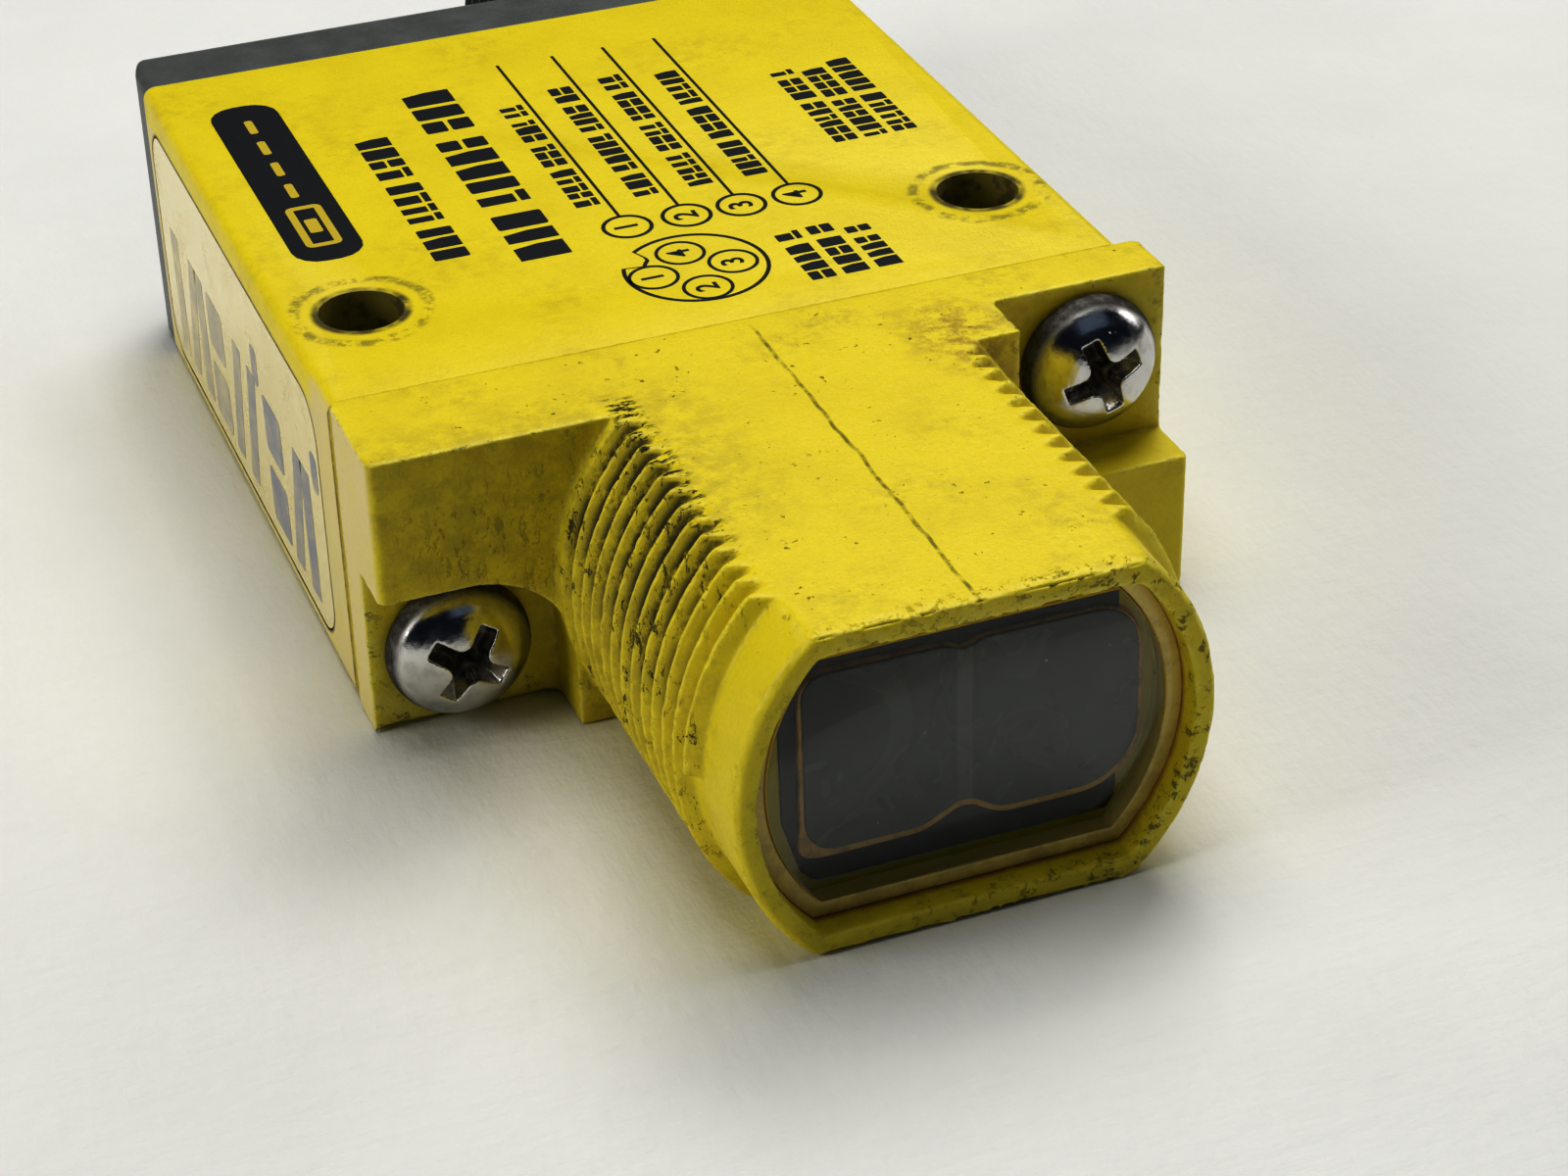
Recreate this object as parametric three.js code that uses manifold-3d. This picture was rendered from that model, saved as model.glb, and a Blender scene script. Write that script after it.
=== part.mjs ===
// Compact photoelectric sensor: a flat plastic body with a threaded, two-flatted lens barrel at the front,
// a rear cover with two adjusters under a clear lid, and a four-pin M12 connector. Millimetres, +Z up.
// Inside the sensor group x runs across and y from the barrel's tip to the rear. z is 0 on the barrel's axis.

import * as THREE from 'three';
import { mergeVertices } from 'three/addons/utils/BufferGeometryUtils.js';
import Module from 'manifold-3d';

const wasm = await Module();
wasm.setup();

// ---------------------------------------------------------------- driving dimensions

const overallLength = 66;
const thickness = 12.2;
const halfThickness = thickness / 2;
const gap = 0.05; // running and seating clearance between neighbouring pieces

// lens housing: barrel and front cover moulded in one
const threadPitch = 1;
const barrelCrest = 9; // M18 x 1
const barrelRoot = 8.42;
const barrelSides = 36;
const collarRadius = barrelCrest + 0.02;
const coverFace = 15.5; // y of the shoulder behind the barrel
const pocketFloor = 17.9; // y of the two screw pockets' floors
const seam = 20.3; // y where the lens housing meets the body housing
const coverHalfWidth = 15.35;
const boreRadius = 7.6; // front pocket that holds the lens
const boreHalfHeight = 5.3;
const innerRadius = 6.9; // narrower bore behind the lens
const innerHalfHeight = 4.75;
const lensSeat = 2.55; // y of the ledge that the lens sits against
const padEnd = 3.5; // y of the domed backs of the two lenses
const opticalX = 2.9; // each optical axis to the barrel's axis
const filterFace = 3.58;
const baffleFace = 3.9;
const coverScrewX = 12.15;
const coverScrewZ = 3;
const screwHoleRadius = 1.65;

// body housing
const bodyLeft = -15.35;
const bodyRight = 14.65;
const bodyMiddle = (bodyLeft + bodyRight) / 2;
const bodyHalfHeight = halfThickness - 0.05;
const bodyRear = 48.95;
const cavityHalfHeight = 4.6;
const holeSpacing = 24.1;
const holeY = 26.45;
const holeRadius = 1.55;
const labelDepth = 0.12;
const label = { y0: 22.75, y1: 48.25, z0: -5.2, z1: 4.65, corner: 1.6 };

// rear cover and the adjusters under its clear lid
const rearFace = 53.3;
const rearHalfHeight = halfThickness - 0.1;
const recessFloor = 50.6;
const recess = { x0: -11.5, x1: 2.15, z: 4.45, corner: 1 };
const lidBack = 51.7;
const lidFace = 53.1;
const lidScrewXs = [-10.4, 1.05];
const gainX = -7.15;
const ledX = -4.75;
const selectorX = -2.3;

// 15-turn gain trimmer: the carriage travels half of this each way
const carriageTravel = 7;
const carriageLength = 3;
const trimmerMiddle = 41.1;

// M12 x 1 connector
const connectorX = 8.65;
const connectorCrest = 6;
const connectorRoot = 5.42;
const connectorSides = 24;
const connectorBore = 4.4;
const socketFloor = 57;
const pinCircle = 7.05;
const pinRadius = 0.5;

// electronics
const boardTop = -2.4;
const boardThickness = 1;

// ---------------------------------------------------------------- materials

function material(color, roughness, metalness = 0) {
  return new THREE.MeshStandardMaterial({ color, roughness, metalness });
}

const yellowPlastic = material(0xe6cf2c, 0.5);
const darkPlastic = material(0x40423e, 0.5);
const blackPlastic = material(0x17181a, 0.55);
const clearPlastic = material(0xdfe6e4, 0.05);
const smokedPlastic = material(0x2a2d2b, 0.15);
const redPlastic = material(0xb0160f, 0.2);
const whitePlastic = material(0xd9d6cc, 0.4);
const labelFilm = material(0xe4d9a0, 0.4);
const blackRubber = material(0x1d1d1d, 0.8);
const stainless = material(0xc9c9c6, 0.2, 1);
const brass = material(0xc6a04c, 0.3, 1);
const gold = material(0xd9b454, 0.25, 1);
const greenBoard = material(0x1f5a35, 0.5);
const epoxy = material(0x242424, 0.35);
const leadColours = [0x6b3a1e, 0xd8d4ca, 0x1f3f8f, 0x1b1b1b].map((color) => material(color, 0.45));

// ---------------------------------------------------------------- shapes and solids

/** Merges a geometry's vertices, drops collapsed triangles and turns all faces outwards. */
function closed(geometry) {
  const bare = geometry.clone();
  bare.deleteAttribute('normal');
  bare.deleteAttribute('uv');
  const merged = mergeVertices(bare, 1e-4);
  const triangles = [];
  let volume = 0;
  const corner = [new THREE.Vector3(), new THREE.Vector3(), new THREE.Vector3()];
  for (let i = 0; i < merged.index.count; i += 3) {
    const ids = [0, 1, 2].map((k) => merged.index.getX(i + k));
    if (new Set(ids).size < 3) continue;
    ids.forEach((id, k) => corner[k].fromBufferAttribute(merged.attributes.position, id));
    volume += corner[0].dot(corner[1].clone().cross(corner[2]));
    triangles.push(ids);
  }
  if (volume < 0) triangles.forEach((ids) => ids.reverse());
  merged.setIndex(triangles.flat());
  return merged;
}

/** A closed geometry as a solid for cutting and joining. */
function solid(geometry) {
  const mesh = closed(geometry);
  const vertProperties = new Float32Array(mesh.attributes.position.array);
  const triVerts = new Uint32Array(mesh.index.array);
  return new wasm.Manifold(new wasm.Mesh({ numProp: 3, vertProperties, triVerts }));
}

/** A solid as a three.js geometry. */
function geometryOf(manifold) {
  const { vertProperties, triVerts } = manifold.getMesh();
  const geometry = new THREE.BufferGeometry();
  geometry.setAttribute('position', new THREE.BufferAttribute(new Float32Array(vertProperties), 3));
  geometry.setIndex(new THREE.BufferAttribute(new Uint32Array(triVerts), 1));
  geometry.computeVertexNormals();
  return geometry;
}

function join(first, ...rest) {
  return rest.reduce((whole, piece) => whole.add(piece), first);
}

function cut(first, ...rest) {
  return rest.reduce((whole, piece) => whole.subtract(piece), first);
}

/** Extrudes a shape along +Z, with chamfered rims of the given size. */
function extruded(shape, depth, rim = 0, curveSegments = 8) {
  const options = {
    depth: depth - 2 * rim,
    curveSegments,
    bevelEnabled: rim > 0,
    bevelThickness: rim,
    bevelSize: rim,
    bevelOffset: -rim,
    bevelSegments: 1,
  };
  const geometry = new THREE.ExtrudeGeometry(shape, options);
  return geometry.translate(0, 0, rim);
}

/** Solid of an (x, z) outline from y0 to y1. */
function alongY(shape, y0, y1, rim = 0, curveSegments = 8) {
  const geometry = extruded(shape, y1 - y0, rim, curveSegments);
  return solid(geometry.rotateX(Math.PI / 2).translate(0, y1, 0));
}

/** Solid of an (x, y) outline from z0 to z1. */
function alongZ(shape, z0, z1, rim = 0, curveSegments = 8) {
  return solid(extruded(shape, z1 - z0, rim, curveSegments).translate(0, 0, z0));
}

/** Solid of a (y, z) outline from x0 to x1. */
function alongX(shape, x0, x1, rim = 0, curveSegments = 8) {
  const geometry = extruded(shape, x1 - x0, rim, curveSegments);
  const toYZ = new THREE.Matrix4().set(0, 0, 1, x0, 1, 0, 0, 0, 0, 1, 0, 0, 0, 0, 0, 1);
  return solid(geometry.applyMatrix4(toYZ));
}

/** Box between two corners. */
function block(x0, x1, y0, y1, z0, z1) {
  const geometry = new THREE.BoxGeometry(x1 - x0, y1 - y0, z1 - z0);
  return solid(geometry.translate((x0 + x1) / 2, (y0 + y1) / 2, (z0 + z1) / 2));
}

/** Solid of revolution about a line along Y through (x, z), from a closed profile of [radius, y] points. */
function turned(profile, x = 0, z = 0, segments = 32) {
  const points = profile.map(([radius, y]) => new THREE.Vector2(radius, y));
  return solid(new THREE.LatheGeometry(points, segments).translate(x, 0, z));
}

/** Round bar along Y. */
function bar(radius, y0, y1, x = 0, z = 0, segments = 32) {
  return turned([[0, y0], [radius, y0], [radius, y1], [0, y1]], x, z, segments);
}

/** Rectangle with rounded corners, between two corner points. */
function roundedRect(x0, x1, z0, z1, radius) {
  const shape = new THREE.Shape();
  shape.moveTo(x1, z1 - radius);
  shape.absarc(x1 - radius, z1 - radius, radius, 0, Math.PI / 2);
  shape.absarc(x0 + radius, z1 - radius, radius, Math.PI / 2, Math.PI);
  shape.absarc(x0 + radius, z0 + radius, radius, Math.PI, 1.5 * Math.PI);
  shape.absarc(x1 - radius, z0 + radius, radius, 1.5 * Math.PI, 2 * Math.PI);
  return shape;
}

/** Circle with two flats at z = +-halfHeight. */
function flattedCircle(radius, halfHeight) {
  const angle = Math.asin(halfHeight / radius);
  const shape = new THREE.Shape();
  shape.absarc(0, 0, radius, -angle, angle);
  shape.absarc(0, 0, radius, Math.PI - angle, Math.PI + angle);
  return shape;
}

/**
 * Bar along Y with a right-hand 60 degree thread, whose crest passes y = phaseY on the +X side. Each end is
 * closed by a fan to the axis, so the bar is cut to length afterwards.
 */
function threadedBar({ root, crest, phaseY, firstTurn, lastTurn, sides }) {
  const foot = 0.4 * threadPitch;
  const tip = 0.06 * threadPitch;
  const section = [[root, -foot], [crest, -tip], [crest, tip], [root, foot]];
  const rows = section.length;
  const first = Math.round(firstTurn * sides);
  const steps = Math.round(lastTurn * sides) - first;
  const positions = [];
  const triangles = [];
  const vertex = (step, row) => step * rows + row;
  const quad = (a, b, c, d) => triangles.push(a, b, c, a, c, d);
  for (let step = 0; step <= steps; step++) {
    const turn = (first + step) / sides;
    for (const [radius, dy] of section) {
      const angle = -2 * Math.PI * turn;
      positions.push(radius * Math.cos(angle), phaseY + threadPitch * turn + dy, radius * Math.sin(angle));
    }
  }
  for (let step = 0; step < steps; step++) {
    for (let row = 0; row < rows - 1; row++) {
      quad(vertex(step, row), vertex(step, row + 1), vertex(step + 1, row + 1), vertex(step + 1, row));
    }
    const above = step + sides;
    if (above < steps) {
      quad(vertex(step, rows - 1), vertex(above, 0), vertex(above + 1, 0), vertex(step + 1, rows - 1));
    }
  }
  const lowerRim = [];
  const upperRim = [];
  for (let step = 0; step <= sides; step++) {
    lowerRim.push(vertex(step, 0));
    upperRim.push(vertex(steps - sides + step, rows - 1));
  }
  lowerRim.push(vertex(0, 3), vertex(0, 2), vertex(0, 1));
  upperRim.push(vertex(steps, 2), vertex(steps, 1), vertex(steps, 0));
  const ends = [[lowerRim, first / sides - 1, 1], [upperRim, first / sides + steps / sides + 1, -1]];
  for (const [rim, turn, direction] of ends) {
    const centre = positions.length / 3;
    positions.push(0, phaseY + threadPitch * turn, 0);
    for (let i = 0; i < rim.length; i++) {
      const pair = [rim[i], rim[(i + 1) % rim.length]];
      if (direction < 0) pair.reverse();
      triangles.push(centre, ...pair);
    }
  }
  const geometry = new THREE.BufferGeometry();
  geometry.setAttribute('position', new THREE.Float32BufferAttribute(positions, 3));
  geometry.setIndex(triangles);
  return solid(geometry);
}

// ---------------------------------------------------------------- lens housing

/** Screw pocket outline at the lower left: a round wall about the screw, open to the side and below. */
function pocketOutline() {
  const radius = 3.58;
  const [centreX, outsideX, outsideZ] = [-coverScrewX + 0.1, -16, -8];
  const shape = new THREE.Shape();
  shape.moveTo(outsideX, radius - coverScrewZ);
  shape.lineTo(centreX, radius - coverScrewZ);
  shape.absarc(centreX, -coverScrewZ, radius, Math.PI / 2, 0, true);
  shape.lineTo(centreX + radius, outsideZ);
  shape.lineTo(outsideX, outsideZ);
  return shape;
}

/** Threaded barrel with a plain nose and a plain collar at the shoulder, between its two flats. */
function barrel() {
  const bevel = 0.22;
  const noseRadius = barrelRoot - 0.03;
  const noseProfile = [[0, 0], [noseRadius - bevel, 0], [noseRadius, bevel], [noseRadius, 4], [0, 4]];
  const collarFoot = barrelRoot - 0.02;
  const collarProfile = [[0, 13], [collarFoot, 13], [collarFoot, 14.7], [collarRadius, 15.1]];
  collarProfile.push([collarRadius, coverFace + 0.4], [0, coverFace + 0.4]);
  const thread = threadedBar({
    root: barrelRoot, crest: barrelCrest, phaseY: 2.51, firstTurn: 0.5, lastTurn: 12.4, sides: barrelSides,
  }).intersect(block(-10, 10, 2.5, coverFace, -10, 10));
  const [nose, collar] = [noseProfile, collarProfile].map((profile) => turned(profile, 0, 0, barrelSides));
  const slab = block(-10, 10, -1, coverFace + 1, -halfThickness, halfThickness);
  return join(nose, thread, collar).intersect(slab);
}

/** Barrel and front cover in one, bored for the optics, with a pocket at each end for a screw. */
function lensHousing() {
  const ledge = 17.6; // y where the bore narrows behind the optics board
  const plan = roundedRect(-coverHalfWidth, coverHalfWidth, coverFace, seam, 0.35);
  const pocket = alongY(pocketOutline(), coverFace - 1, pocketFloor, 0, 10);
  const spigot = alongY(roundedRect(-7.8, 7.8, -4.3, 4.3, 0.6), seam - 0.5, 21.6, 0, 3);
  const groove = cut(
    alongY(roundedRect(-9.5, 9.5, -5.5, 5.5, 0.8), seam - 0.5, seam + 0.5, 0, 3),
    alongY(roundedRect(-8.3, 8.3, -4.7, 4.7, 0.6), seam - 1, seam + 1, 0, 3),
  );
  const screwHoles = [-1, 1].map((side) => (
    bar(screwHoleRadius, coverFace, seam + 1, side * coverScrewX, side * coverScrewZ, 24)
  ));
  const cover = cut(alongZ(plan, -halfThickness, halfThickness), pocket, pocket.rotate([0, 180, 0]));
  return cut(
    join(barrel(), cover, spigot),
    alongY(flattedCircle(boreRadius, boreHalfHeight), -1, lensSeat, 0, 14),
    alongY(flattedCircle(innerRadius, innerHalfHeight), lensSeat - 0.1, ledge, 0, 10),
    alongY(roundedRect(-6.9, 6.9, -3.5, 3.5, 1), ledge - 0.1, 22, 0, 3),
    groove,
    ...screwHoles,
  );
}

// ---------------------------------------------------------------- optics

/** One of the two side-by-side windows, as an outline with large outer corners. */
function windowOutline(side, inset = 0) {
  const inner = side * -0.12;
  const outer = side * (5.5 - inset);
  const [x0, x1] = side > 0 ? [inner, outer] : [outer, inner];
  return roundedRect(x0, x1, -3.4 + inset, 3.4 - inset, 1.35);
}

/** Outline of the black optical block, with its corners clipped. */
function opticsOutline(inset = 0) {
  const x = 5.95 - inset;
  const z = 4.4 - inset;
  const clip = 1.2;
  const corners = [
    [x, z - clip], [x - clip, z], [clip - x, z], [-x, z - clip],
    [-x, clip - z], [clip - x, -z], [x - clip, -z], [x, clip - z],
  ];
  return new THREE.Shape(corners.map((corner) => new THREE.Vector2(...corner)));
}

/** Clear plug with two domed lens pads on its back, one behind each window. */
function lens() {
  const clearance = 0.22;
  const outline = flattedCircle(boreRadius - clearance, boreHalfHeight - clearance);
  const plate = alongY(outline, 0.95, lensSeat - gap, 0.15, 12);
  const [domeRadius, domeReach, steps] = [9, 5.2, 5];
  const dome = [[0, 0], [domeReach, 0]];
  for (let i = steps; i >= 0; i--) {
    const radius = (i / steps) * domeReach;
    dome.push([radius, padEnd - domeRadius + Math.sqrt(domeRadius ** 2 - radius ** 2)]);
  }
  const pads = [-1, 1].map((side) => {
    const pad = alongY(windowOutline(side, 0.12), lensSeat - 0.3, padEnd + 0.2, 0, 4);
    return pad.intersect(turned(dome, side * opticalX, 0, 20));
  });
  return join(plate, ...pads);
}

function lensMask() {
  const plate = alongY(opticsOutline(), lensSeat + gap, 3.05);
  return cut(plate, ...[-1, 1].map((side) => alongY(windowOutline(side), lensSeat - 1, 4, 0, 6)));
}

/** Dark plate behind both lenses that passes red light of one polarisation. */
function opticalFilter() {
  return alongY(opticsOutline(0.1), filterFace, baffleFace - gap);
}

/** Black block with one light tunnel for each lens and a wall between them. */
function lightBaffle() {
  const tunnels = [-1, 1].map((side) => {
    const [x0, x1] = [side * 0.5, side * 5.35].sort((a, b) => a - b);
    return alongY(roundedRect(x0, x1, -3.3, 3.3, 1.2), 3, 17, 0, 4);
  });
  return cut(alongY(opticsOutline(0.1), baffleFace, 16.4), ...tunnels);
}

/** Round-nosed optical component standing on the optics board. */
function opticalDevice(side, radius) {
  const profile = [[0, 12.2], [radius * 0.55, 12.45], [radius * 0.9, 13.1], [radius, 13.9]];
  profile.push([radius, 15.7], [radius + 0.25, 15.7], [radius + 0.25, 16.5], [0, 16.5]);
  return turned(profile, side * opticalX, 0, 20);
}

// ---------------------------------------------------------------- body housing

/** Outline of the film on the narrow left side, grown by a margin. */
function labelOutline(margin) {
  const { y0, y1, z0, z1, corner } = label;
  return roundedRect(y0 - margin, y1 + margin, z0 - margin, z1 + margin, corner + margin);
}

function bodyHousing() {
  const outline = roundedRect(bodyLeft, bodyRight, -bodyHalfHeight, bodyHalfHeight, 0.5);
  const neck = block(-8.3, 8.3, seam - 1, 29, -cavityHalfHeight, cavityHalfHeight);
  const chamber = block(-13.85, 13.15, 28.8, bodyRear + 1, -cavityHalfHeight, cavityHalfHeight);
  const mountingHoles = [-1, 1].map((side) => {
    const hole = new THREE.Shape();
    hole.absarc(bodyMiddle + (side * holeSpacing) / 2, holeY, holeRadius, 0, 2 * Math.PI);
    return alongZ(hole, -halfThickness - 1, halfThickness + 1, 0, 12);
  });
  const insertHoles = [-1, 1].map((side) => (
    bar(2.35, seam - 1, 24.4, side * coverScrewX, side * coverScrewZ, 24)
  ));
  const labelRecess = alongX(labelOutline(0.1), bodyLeft - 1, bodyLeft + labelDepth + 0.03);
  return cut(
    alongY(outline, seam, bodyRear, 0.08, 4),
    neck, chamber, labelRecess, ...mountingHoles, ...insertHoles,
  );
}

function sideLabel() {
  return alongX(labelOutline(0), bodyLeft, bodyLeft + labelDepth);
}

/** Flat seal of rectangular ring form, seated against the plane y0. */
function ringSeal(outer, inner, y0, y1) {
  const opening = alongY(roundedRect(...inner), y0 - 1, y1 + 1, 0, 3);
  return cut(alongY(roundedRect(...outer), y0, y1, 0, 3), opening);
}

/** Pan-head screw with a cross recess. Its head faces -Y when pointing is 1, and +Y when it is -1. */
function crossScrew({ x, z, seat, headRadius, headHeight, shankRadius, shankLength, turn, pointing, sides }) {
  const rows = 4;
  const profile = [[0, seat + shankLength], [shankRadius * 0.6, seat + shankLength]];
  profile.push([shankRadius, seat + shankLength - 0.4], [shankRadius, seat], [headRadius, seat]);
  const wall = headHeight * 0.35;
  for (let i = 0; i <= rows; i++) {
    const t = (i / rows) * (Math.PI / 2) * 0.94;
    profile.push([headRadius * Math.cos(t) ** 0.9, seat - wall - (headHeight - wall) * Math.sin(t)]);
  }
  profile.push([0, seat - headHeight]);
  const slotLength = headRadius * 1.15;
  const slotWidth = headRadius * 0.34;
  const depth = headHeight * 0.66;
  const slots = [0, 90].map((angle) => {
    const outline = new THREE.Shape();
    const [top, foot] = [slotLength / 2, slotLength / 2 - depth * 0.45];
    outline.moveTo(-top, seat - headHeight - 0.5);
    outline.lineTo(top, seat - headHeight - 0.5);
    outline.lineTo(top, seat - headHeight + depth * 0.25);
    outline.lineTo(foot, seat - headHeight + depth);
    outline.lineTo(-foot, seat - headHeight + depth);
    outline.lineTo(-top, seat - headHeight + depth * 0.25);
    return alongZ(outline, -slotWidth / 2, slotWidth / 2).rotate([0, angle + turn, 0]);
  });
  const screw = cut(turned(profile, 0, 0, sides), ...slots);
  const turnedRound = screw.translate([0, -seat, 0]).rotate([0, 0, 180]).translate([0, seat, 0]);
  return (pointing > 0 ? screw : turnedRound).translate([x, 0, z]);
}

function coverScrew(side) {
  return crossScrew({
    x: side * coverScrewX, z: side * coverScrewZ, seat: pocketFloor - gap, headRadius: 2.65, headHeight: 1.85,
    shankRadius: 1.42, shankLength: 6.1, turn: side < 0 ? 28 : 40, pointing: 1, sides: 32,
  });
}

/** Brass sleeve with a groove about its middle. */
function threadedInsert(side) {
  const [bore, outside, groove] = [1.5, 2.28, 2.1];
  const profile = [[bore, 20.6], [outside, 20.6], [outside, 21.9], [groove, 22.1], [groove, 22.5]];
  profile.push([outside, 22.7], [outside, 24.2], [bore, 24.2], [bore, 20.6]);
  return turned(profile, side * coverScrewX, side * coverScrewZ, 24);
}

// ---------------------------------------------------------------- rear cover and adjusters

function rearCover() {
  const [x0, x1] = [bodyLeft + gap, bodyRight - gap];
  const edge = 1.8;
  const corner = 3.2;
  const plan = new THREE.Shape();
  plan.moveTo(x0, bodyRear);
  plan.lineTo(x1, bodyRear);
  plan.absarc(x1 - corner, rearFace - corner, corner, 0, Math.PI / 2);
  plan.absarc(x0 + corner, rearFace - corner, corner, Math.PI / 2, Math.PI);
  const profile = new THREE.Shape();
  profile.moveTo(bodyRear, -rearHalfHeight);
  profile.lineTo(rearFace - edge, -rearHalfHeight);
  profile.absarc(rearFace - edge, -rearHalfHeight + edge, edge, -Math.PI / 2, 0);
  profile.absarc(rearFace - edge, rearHalfHeight - edge, edge, 0, Math.PI / 2);
  profile.lineTo(bodyRear, rearHalfHeight);
  const section = roundedRect(x0, x1, -rearHalfHeight, rearHalfHeight, 0.45);
  const shell = alongZ(plan, -rearHalfHeight, rearHalfHeight, 0, 7)
    .intersect(alongX(profile, x0, x1, 0, 5))
    .intersect(alongY(section, bodyRear - 1, rearFace + 1, 0, 3));
  const bossSlab = block(0, x1, bodyRear, rearFace, -rearHalfHeight, rearHalfHeight);
  const collar = bar(connectorCrest - 0.05, bodyRear + 0.2, rearFace, connectorX, 0, connectorSides);
  const boss = collar.intersect(bossSlab);
  const spigot = block(-13.6, 3, 47.5, bodyRear + 0.2, -4.35, 4.35);
  const pocketPlan = roundedRect(recess.x0, recess.x1, -recess.z, recess.z, recess.corner);
  const pocket = alongY(pocketPlan, recessFloor, rearFace + 1, 0, 4);
  const posts = lidScrewXs.map((x) => bar(1.05, recessFloor - 0.2, lidBack - gap, x, 0, 14));
  const postHoles = lidScrewXs.map((x) => bar(0.62, 49.4, rearFace, x, 0, 10));
  const [sealOuter, sealInner] = [[-14.85, 14.15, -5.55, 5.55, 0.7], [-14.1, 13.4, -4.85, 4.85, 0.4]];
  return cut(
    join(cut(join(shell, boss), pocket), spigot, ...posts),
    ...postHoles,
    ringSeal(sealOuter, sealInner, bodyRear - 1, bodyRear + 0.5),
    bar(0.95, 47, rearFace, gainX, 0, 14),
    bar(0.95, 47, rearFace, ledX, 0, 14),
    bar(1.15, 47, rearFace, selectorX, 0, 14),
    bar(4.45, 47, rearFace, connectorX, 0, connectorSides),
    bar(5.05, 49.45, rearFace + 1, connectorX, 0, connectorSides),
  );
}

function controlLid() {
  const outline = roundedRect(recess.x0 + 0.15, recess.x1 - 0.15, -recess.z + 0.15, recess.z - 0.15, 0.85);
  const holes = lidScrewXs.flatMap((x) => [bar(0.7, 51, 54, x, 0, 12), bar(1.25, 52.35, 54, x, 0, 20)]);
  return cut(alongY(outline, lidBack, lidFace, 0.12, 4), ...holes);
}

/** Slotted head on a shaft along Y. */
function slottedShaft({ x, shaftRadius, shaftEnd, headRadius, slot }) {
  const [seat, face] = [recessFloor + 0.1, lidBack - 0.2];
  const profile = [[0, shaftEnd], [shaftRadius, shaftEnd], [shaftRadius, seat], [headRadius, seat]];
  profile.push([headRadius, face - 0.12], [headRadius - 0.12, face], [0, face]);
  const slotCut = block(x - slot / 2, x + slot / 2, face - 0.4, face + 1, -headRadius - 1, headRadius + 1);
  return cut(turned(profile, x, 0, 28), slotCut);
}

function trimmerBody() {
  const [x0, x1] = [gainX - 2.4, gainX + 2.4];
  const halfChannel = (carriageLength + carriageTravel) / 2 + 0.2;
  const wall = 0.8;
  const [y0, y1] = [trimmerMiddle - halfChannel - wall, trimmerMiddle + halfChannel + wall];
  return cut(
    alongZ(roundedRect(x0, x1, y0, y1, 0.3), boardTop + gap, 2.35, 0, 3),
    block(gainX - 1.6, gainX + 1.6, y0 + wall, y1 - wall, -1.65, 3),
    bar(0.87, y0 - 1, y1 + 1, gainX, 0, 20),
  );
}

function wiperCarriage() {
  const half = carriageLength / 2;
  const outline = roundedRect(gainX - 1.45, gainX + 1.45, -1.45, 1.9, 0.3);
  const bore = bar(0.87, trimmerMiddle - 3, trimmerMiddle + 3, gainX, 0, 20);
  return cut(alongY(outline, trimmerMiddle - half, trimmerMiddle + half, 0.1, 3), bore);
}

function selectorBody() {
  const outline = roundedRect(selectorX - 2, selectorX + 2, 42, 47.2, 0.3);
  return cut(alongZ(outline, boardTop + gap, 2, 0.1, 3), bar(1.07, 44.2, 48, selectorX, 0, 20));
}

function indicatorLed() {
  const profile = [[0, 47.7], [0.85, 47.7], [0.85, 50.9], [0.72, 51.2], [0.4, 51.42], [0, 51.5]];
  return turned(profile, ledX, 0, 20);
}

// ---------------------------------------------------------------- connector

function connectorShell() {
  const stub = [[0, 49.5], [4.95, 49.5], [4.95, 53.4], [5.92, 53.4], [5.92, 54.2], [4.98, 54.35]];
  const neck = connectorRoot - 0.02;
  const front = [[4.98, 55.35], [neck, 55.7], [neck, 65.4], [5.1, overallLength], [0, overallLength]];
  const thread = threadedBar({
    root: connectorRoot,
    crest: connectorCrest,
    phaseY: 55.9,
    firstTurn: 0.2,
    lastTurn: 9.2,
    sides: connectorSides,
  }).intersect(block(-8, 8, 55.7, 65.4, -8, 8));
  const outside = join(turned([...stub, ...front], 0, 0, connectorSides), thread);
  const bore = bar(connectorBore, 40, overallLength + 1, 0, 0, connectorSides);
  const key = block(-0.55, 0.55, socketFloor + 0.1, 65.2, 3.75, 4.7).rotate([0, 45, 0]);
  return join(cut(outside, bore), key).translate([connectorX, 0, 0]);
}

/** Places of the four contacts about the connector's axis, as [x, z]. */
function contactPlaces() {
  return [0, 1, 2, 3].map((i) => {
    const angle = (i * Math.PI) / 2;
    return [connectorX + (Math.cos(angle) * pinCircle) / 2, (Math.sin(angle) * pinCircle) / 2];
  });
}

function contactInsert() {
  const holes = contactPlaces().map(([x, z]) => bar(pinRadius + gap, 40, 60, x, z, 14));
  const profile = [[0, 48.5], [4.3, 48.5], [4.3, socketFloor - 0.2], [4.1, socketFloor], [0, socketFloor]];
  return cut(turned(profile, connectorX, 0, connectorSides), ...holes);
}

function contactPin([x, z]) {
  const [tail, tip] = [0.32, 0.22];
  const profile = [[0, 46.6], [tail, 46.6], [tail, 48.2], [pinRadius, 48.3], [pinRadius, 64.2]];
  profile.push([tip, 64.6], [0, 64.6]);
  return turned(profile, x, z, 14);
}

function connectorSeal() {
  const [middle, radius, sides] = [5.42, 0.4, 8];
  const profile = [];
  for (let i = 0; i <= sides; i++) {
    const angle = (2 * Math.PI * (i % sides)) / sides;
    profile.push([middle + radius * Math.cos(angle), 54.85 + radius * Math.sin(angle)]);
  }
  return turned(profile, connectorX, 0, connectorSides);
}

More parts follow.
